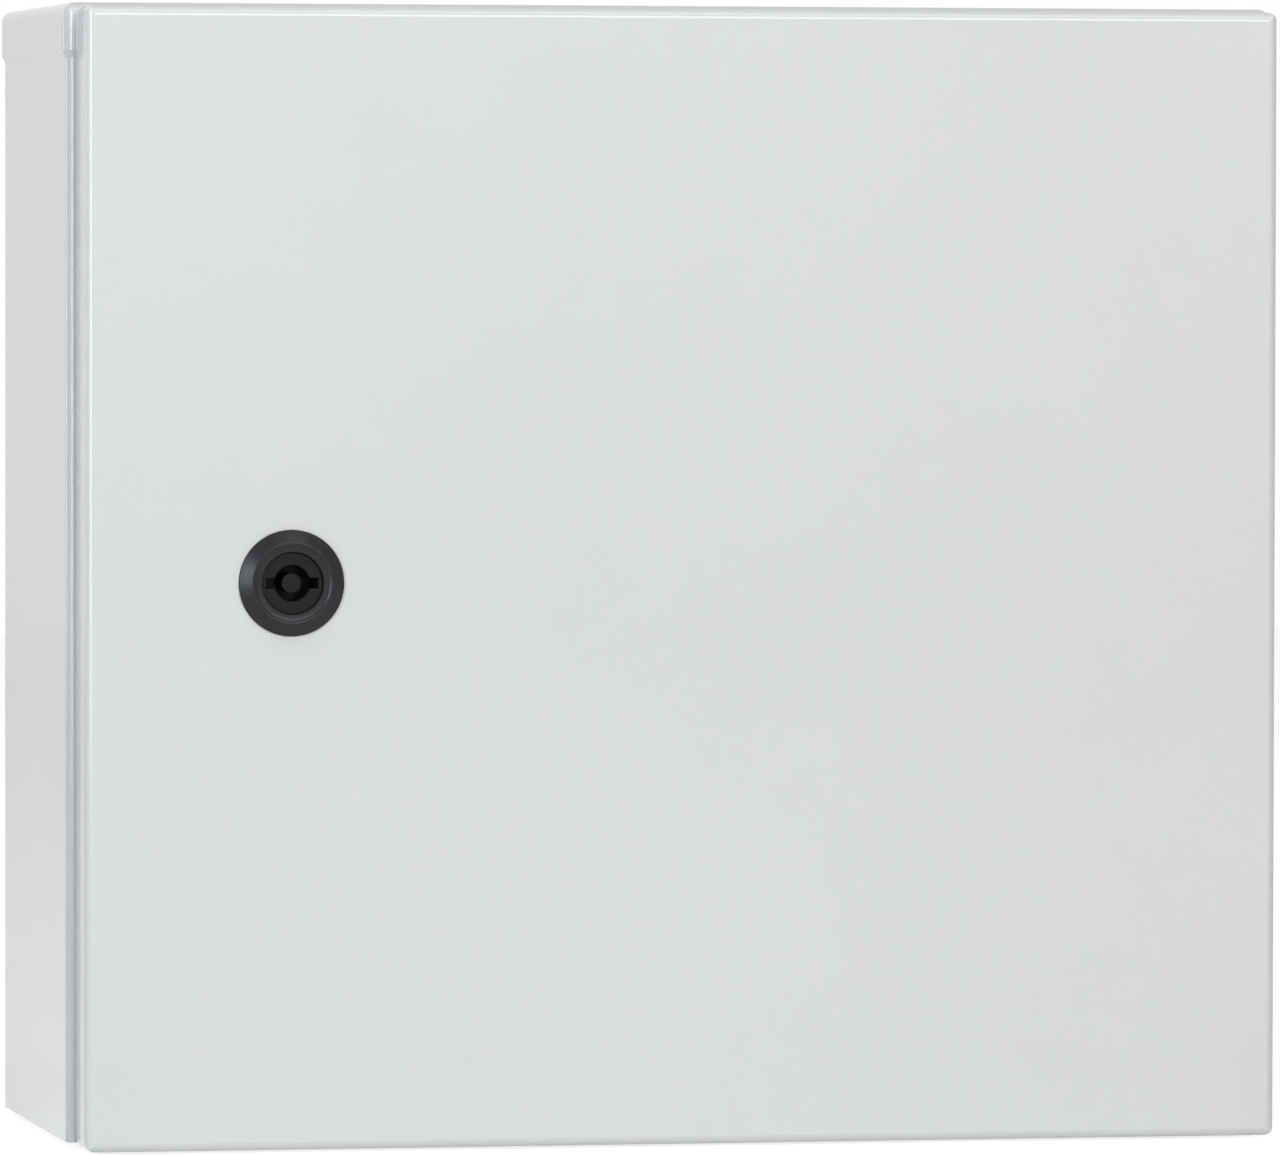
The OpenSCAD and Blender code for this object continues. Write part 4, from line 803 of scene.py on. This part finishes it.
def make_lock_bezel():
    """Bezel and threaded barrel of the lock in one surface."""
    low, high, middle = size_of("lock_housing")
    door_front = size_of("door_panel")[0][1]
    radii, heights = bezel_profile((high[0] - low[0]) / 2, door_front - low[1])
    length = high[1] - door_front
    steps = np.linspace(0, length, int(length / BARREL_PITCH * THREAD_STEPS))[:, None]
    barrel = thread(steps, BARREL_R, BARREL_PITCH, BARREL_DEPTH, BARREL_COLUMNS)
    sine = np.abs(np.sin(around(BARREL_COLUMNS)))
    barrel = np.minimum(barrel, BARREL_FLATS / 2 / np.maximum(sine, 1e-6))
    barrel = np.minimum(barrel, BARREL_END_R + (length - steps))
    radius = np.concatenate([np.repeat(radii[:, None], BARREL_COLUMNS, 1), barrel,
                             np.full((1, BARREL_COLUMNS), LOCK_BORE)])
    height = np.concatenate([np.repeat(heights[:, None], BARREL_COLUMNS, 1),
                             np.broadcast_to(-steps, barrel.shape),
                             np.full((1, BARREL_COLUMNS), -length)])
    points = towards_door(turned_grid(radius, height, BARREL_COLUMNS))
    points = points + np.array([middle[0], door_front, middle[2]])
    piece("lock_bezel", skin(points, loop=True), "door", "lock_black", "lock_housing", sharp=50)


def make_lock_nut():
    """The nut that clamps the lock to the door."""
    low, high, middle = size_of("lock_nut")
    flats, bore = 27 * MM, 11 * MM
    clamp = nut(flats, high[1] - low[1], bore)
    piece("lock_clamp_nut", copies(clamp, (middle[0], high[1], middle[2])), "door", "cam_zinc",
          "lock_nut")


def make_cam_bolt():
    """The bolt that holds the cam: hexagonal head, washer and threaded shank."""
    low, high, middle = size_of("lock_cam_screw")
    flats, head = 8 * MM, 3.5 * MM
    washer_r, washer = 7 * MM, 1.2 * MM
    shank_r, pitch, depth = 2.4 * MM, 0.8 * MM, 0.3 * MM
    seat = high[1] - head
    shank = seat - washer
    bolt = [copies(nut(flats, head, 0.0), (0, high[1], 0)),
            copies(ring(washer_r, 0.0, washer), (0, seat, 0)),
            copies(threaded_rod(shank_r, pitch, shank - low[1], depth), (0, shank, 0))]
    piece("cam_bolt", copies(joined(*bolt), (middle[0], 0, middle[2])), "lock", "steel",
          "lock_cam_screw")


def make_threads():
    """Threaded studs of the mounting plate with chamfered nuts and washers on them."""
    low, high, _ = size_of("plate_studs")
    stud_r, pitch, depth = 3 * MM, 1 * MM, 0.45 * MM
    flats, washer_r, washer, play = 10.2 * MM, 7 * MM, 1 * MM, 0.02 * MM
    corners = np.array([(x, 0, z) for x in (low[0] + stud_r, high[0] - stud_r)
                        for z in (low[2] + stud_r, high[2] - stud_r)])
    stud = copies(threaded_rod(stud_r, pitch, high[1] - low[1], depth), (0, high[1], 0))
    piece("threaded_studs", copies(stud, corners), "cabinet", "steel", "plate_studs")
    low, high, _ = size_of("plate_nuts")
    both = joined(copies(nut(flats, high[1] - low[1] - washer, stud_r + play),
                         (0, high[1] - washer, 0)),
                  copies(ring(washer_r, stud_r + play, washer, columns=72), (0, high[1], 0)))
    piece("stud_nuts", copies(both, corners), "cabinet", "steel", "plate_nuts")


# ---------------------------------------------------------------- control equipment

BLOCK_WAYS, BLOCK_PITCH, BLOCKS = 8, 5 * MM, 4
STRIP_WAYS, STRIP_PITCH, STRIP_WALL = 10, 9 * MM, 1.6 * MM
RAIL_WAYS, RAIL_PITCH = 5, 5.2 * MM
DRIVER_WIDTH, DRIVER_HEIGHT, DRIVER_LEGS, LEG_PITCH = 12 * MM, 6 * MM, 8, 1.27 * MM
DRIVER_SHIFT = 0.3      # of the row of drivers to the right, as a share of its pitch


def centred(count, pitch):
    """Places of a row, counted from its middle."""
    return (np.arange(count) - (count - 1) / 2) * pitch


def block_screws():
    """Screws of the pluggable blocks along the board's lower edge."""
    low, high, _ = size_of("terminal_blocks")
    half, proud, up = BLOCK_WAYS * BLOCK_PITCH / 2, 8 * MM, 5 * MM
    front, z = size_of("control_board")[0][1] - proud, low[2] + up
    places = [(x + way, front, z) for x in np.linspace(low[0] + half, high[0] - half, BLOCKS)
              for way in centred(BLOCK_WAYS, BLOCK_PITCH)]
    return copies(slotted_head(1.42 * MM, 1.2 * MM, 0.4 * MM), places)


def strip_screws():
    """Broad screws of the power supply's strip, each over its square clamping plate."""
    low, _, _ = size_of("power_supply_terminals")
    first = low[0] + STRIP_WALL / 2 + STRIP_PITCH / 2
    inset = 7 * MM                          # from the strip's front and from its lower edge
    places = [(first + i * STRIP_PITCH, low[1] + inset, low[2] + inset)
              for i in range(STRIP_WAYS)]
    plate = block(7.0 * MM, 7.4 * MM, 0.4 * MM, [(0, 0), (0.7 * MM, 0), (0.8 * MM, 0.1 * MM)])
    return copies(joined(slotted_head(3.05 * MM, 2.8 * MM, 0.9 * MM),
                         copies(plate, (0, 0, -1 * MM))), places)


def rail_screws():
    """Two screws to each terminal on the rail."""
    low, _, middle = size_of("rail_terminals")
    proud, aside = 20 * MM, 16.5 * MM       # from the rail's front and from its middle
    front = size_of("din_rail")[0][1] - proud
    places = [(low[0] + (i + 0.5) * RAIL_PITCH, front, middle[2] + side * aside)
              for i in range(RAIL_WAYS) for side in (-1, 1)]
    return copies(slotted_head(1.7 * MM, 1.5 * MM, 0.5 * MM), places)


def breaker_screws():
    """The breaker's screws, above and below its toggle."""
    _, _, middle = size_of("breaker")
    proud, aside = 37 * MM, 34 * MM         # from the rail's front and the breaker's middle
    front = size_of("din_rail")[0][1] - proud
    places = [(middle[0], front, middle[2] + side * aside) for side in (-1, 1)]
    return copies(slotted_head(3.0 * MM, 2.0 * MM, 0.8 * MM), places)


def make_terminal_screws():
    """Slotted screws in the bores of every terminal."""
    piece("terminal_screws", joined(block_screws(), strip_screws(), rail_screws(),
                                    breaker_screws()), "cabinet", "steel")


def along_x(part):
    """The part's Y axis laid along X."""
    points, faces = part
    return np.stack([-points[:, 1], points[:, 0], points[:, 2]], -1), faces


def spring_clip(inner, outer, width):
    """A sheet bent round the X axis and open to the door, with closed ends."""
    t = np.linspace(math.radians(-50), math.radians(230), 19)
    section = [(-width / 2, inner), (-width / 2, outer), (width / 2, outer), (width / 2, inner)]
    rows = np.stack([np.stack([np.full(len(t), x), r * np.sin(t), r * np.cos(t)], -1)
                     for x, r in section], 1)
    points, faces = skin(rows)
    first = np.array([[0, 1, 2, 3]])
    return points, np.concatenate([faces, first, first + len(points) - 4])


def make_fuses():
    """Glass tubes with plated caps in spring clips, each clip on a small foot."""
    low, high, middle = size_of("fuses")
    tube_r, cap_r, cap_l, length = 2.0 * MM, 2.2 * MM, 5 * MM, high[0] - low[0]
    broken, wall, play = 0.35 * MM, 0.35 * MM, 0.02 * MM
    seat = 3.2 * MM                         # from the board, and from the outline, to the axis
    rows = [(middle[0], size_of("control_board")[0][1] - seat, z)
            for z in (low[2] + seat, high[2] - seat)]
    tube_end, cap_x = length / 2 - cap_l, length / 2 - cap_l / 2
    tube = skin(towards_door(turned_grid([0, tube_r, tube_r, 0],
                                         np.array([-1, -1, 1, 1]) * tube_end, 24)))
    piece("fuse_tubes", copies(along_x(tube), rows), "cabinet", "fuse_glass", "fuses")
    cap = skin(towards_door(turned_grid([0, cap_r, cap_r, cap_r - broken, 0],
                                        np.array([0, 0, cap_l - broken, cap_l, cap_l])
                                        - cap_l / 2, 24)))
    right = copies(along_x(cap), (cap_x, 0, 0))
    left = (right[0] * np.array([-1, 1, 1]), right[1])
    piece("fuse_caps", copies(joined(right, left), rows), "cabinet", "steel")
    foot = copies(block(4 * MM, 3 * MM, 0.3 * MM, [(0, 0), (1.1 * MM, 0)]), (0, seat, 0))
    clip = joined(spring_clip(cap_r + play, cap_r + wall, 3.6 * MM), foot)
    piece("fuse_clips", copies(copies(clip, [(cap_x, 0, 0), (-cap_x, 0, 0)]), rows),
          "cabinet", "brass")


def resistor_places():
    """Places of the board's resistors: those that lie across, and a column that stands."""
    low, high, _ = size_of("control_board")
    relays, blocks, chips = size_of("relays"), size_of("terminal_blocks"), size_of("chips")
    fuses, capacitors = size_of("fuses"), size_of("capacitors")
    front = low[1]
    row_z, edge_x = chips[0][2] + 9.5 * MM, high[0] - 3.5 * MM
    under_z, column_x = (fuses[0][2] + blocks[1][2]) / 2, (relays[1][0] + capacitors[0][0]) / 2
    row = np.arange(low[0] + 10 * MM, relays[0][0] - 8 * MM, 4.2 * MM)
    edge = np.arange(fuses[0][2], relays[1][2] - 6 * MM, 4.4 * MM)
    under = np.arange(fuses[0][0], high[0] - 6 * MM, 3.4 * MM)
    column = np.arange(relays[0][2], relays[1][2], 3.6 * MM)
    lying = ([(x, front, row_z) for x in row] + [(edge_x, front, z) for z in edge]
             + [(x, front, under_z) for x in under])
    return lying, [(column_x, front, z) for z in column]


def driver_legs():
    """Places of the legs above and below each driver chip, of which each block has one."""
    front, base = size_of("control_board")[0][1], size_of("chips")[0][2]
    low, high, _ = size_of("operator_panel")
    pitch = (high[0] - low[0] - 2 * DRIVER_WIDTH) / BLOCKS
    left_edges = low[0] + DRIVER_WIDTH + (np.arange(BLOCKS) + DRIVER_SHIFT) * pitch
    reach = DRIVER_HEIGHT / 2 + 0.4 * MM
    return [(x + leg, front, base + DRIVER_HEIGHT / 2 + side * reach)
            for x in left_edges + DRIVER_WIDTH / 2
            for leg in centred(DRIVER_LEGS, LEG_PITCH) for side in (-1, 1)]


def make_board_parts():
    """Small parts on the control board: resistors with tinned ends, and chip legs."""
    across_row, column = resistor_places()
    edge, end_x = 0.08 * MM, 0.9 * MM
    length, width, thick = 1.8 * MM, 1.25 * MM, 0.55 * MM
    lying, standing = (soft_block(length, width, thick, edge),
                       soft_block(width, length, thick, edge))
    piece("board_resistors", joined(copies(lying, across_row), copies(standing, column)),
          "cabinet", "chip_black")
    end_l, end_w, end_t = 0.45 * MM, 1.35 * MM, 0.60 * MM
    lying, standing = (soft_block(end_l, end_w, end_t, edge),
                       soft_block(end_w, end_l, end_t, edge))
    pads = joined(*[copies(copies(lying, (s * end_x, 0, 0)), across_row) for s in (-1, 1)],
                  *[copies(copies(standing, (0, 0, s * end_x)), column) for s in (-1, 1)])
    leg = block(0.45 * MM, 0.9 * MM, 0.1 * MM, [(0, 0), (0.25 * MM, 0), (0.3 * MM, 0.05 * MM)], 1)
    piece("board_solder", joined(pads, copies(leg, driver_legs())), "cabinet", "steel")


def make_capacitor_tops():
    """Bare aluminium tops of the capacitors, each with its crossed vent grooves: the height falls
    inside a narrow band round both diagonals."""
    low, high, middle = size_of("capacitors")
    top_r, pitch, margin, columns = 4.9 * MM, 20 * MM, 5.5 * MM, 72
    vent, vent_r, lip, skirt = 0.25 * MM, 0.85 * top_r, 0.35 * MM, -0.3 * MM
    count = int(round((high[2] - low[2] - 2 * margin) / pitch)) + 1
    s = np.concatenate([[0.0], np.linspace(0.05, 1, 14)])[:, None] * top_r
    from_vent = np.abs(np.sin(2 * (around(columns) - np.pi / 4))) / 2 * s
    top = lip - vent * np.exp(-(from_vent / vent) ** 2) * (s < vent_r)
    radius = np.concatenate([np.broadcast_to(s, top.shape), np.full((1, columns), top_r),
                             np.zeros((1, columns))])
    height = np.concatenate([top, np.full((2, columns), skirt)])
    lid = skin(towards_door(turned_grid(radius, height, columns)))
    places = [(middle[0], low[1], high[2] - margin - i * pitch) for i in range(count)]
    piece("capacitor_tops", copies(lid, places), "cabinet", "aluminium_case")


def make_grommets():
    """Membrane grommets: a cone of three rings that can be cut to the cable, in a grooved rim."""
    low, high, middle = size_of("cable_grommets")
    outer = (high[1] - low[1]) / 2
    neck, base, top = outer - 2 * MM, low[2], high[2]
    plate, cone_r = top - 3.5 * MM, neck - 2 * MM
    rise, rings, ripple, wall = 1.6 * MM, 3, 0.25 * MM, 0.8 * MM
    s = np.linspace(0, 1, 25)
    cone = plate + 0.6 * MM + rise * (1 - s) + ripple * np.cos(s * rings * 2 * np.pi)
    rim = np.array([(neck - 1.5 * MM, top - 0.4 * MM), (neck - 1.2 * MM, top),
                    (outer - 0.6 * MM, top), (outer, top - 0.6 * MM), (outer, plate + 1.5 * MM),
                    (neck, plate + 1.5 * MM), (neck, plate), (neck + 1 * MM, plate),
                    (neck + 0.6 * MM, base), (cone_r, base)])
    r = np.concatenate([s * cone_r, rim[:, 0], s[::-1] * cone_r])
    h = np.concatenate([cone, rim[:, 1], cone[::-1] - wall])
    pitch = (high[0] - low[0] - 2 * outer) / 2
    places = [(middle[0] + i * pitch, middle[1], 0) for i in (-1, 0, 1)]
    piece("membrane_grommets", copies(skin(turned_grid(r, h, 40)), places), "cabinet", "rubber",
          "cable_grommets")


# ---------------------------------------------------------------- the scene

SOFTENED = (        # CAD nodes whose sharp edges are rounded: node, slot, width
    ("battery", "battery_case", 0.6 * MM),
    ("relays", "relay_blue", 0.4 * MM),
    ("breaker", "breaker_white", 0.4 * MM),
    ("terminal_blocks", "terminal_green", 0.2 * MM),
    ("rail_terminals", "rail_grey", 0.25 * MM),
    ("rail_end_stops", "terminal_black", 0.3 * MM),
    ("power_supply_terminals", "terminal_black", 0.25 * MM),
    ("operator_panel", "fascia_grey", 0.25 * MM),
    ("chips", "chip_black", 0.12 * MM),
)

place_camera()
build_surroundings()
for lamp in SOFTBOXES:
    softbox(*lamp)
build_floor()
dress_nodes()
for make in (make_door_seal, make_lock_bezel, make_lock_nut, make_cam_bolt, make_threads,
             make_terminal_screws, make_fuses, make_board_parts, make_capacitor_tops,
             make_grommets):
    make()
for node, slot, width in SOFTENED:
    softened(node, "cabinet", slot, width)
softened("breaker_toggle", "breaker_toggle", "terminal_black", 0.3 * MM)
bpy.context.scene.view_settings.view_transform = "Standard"
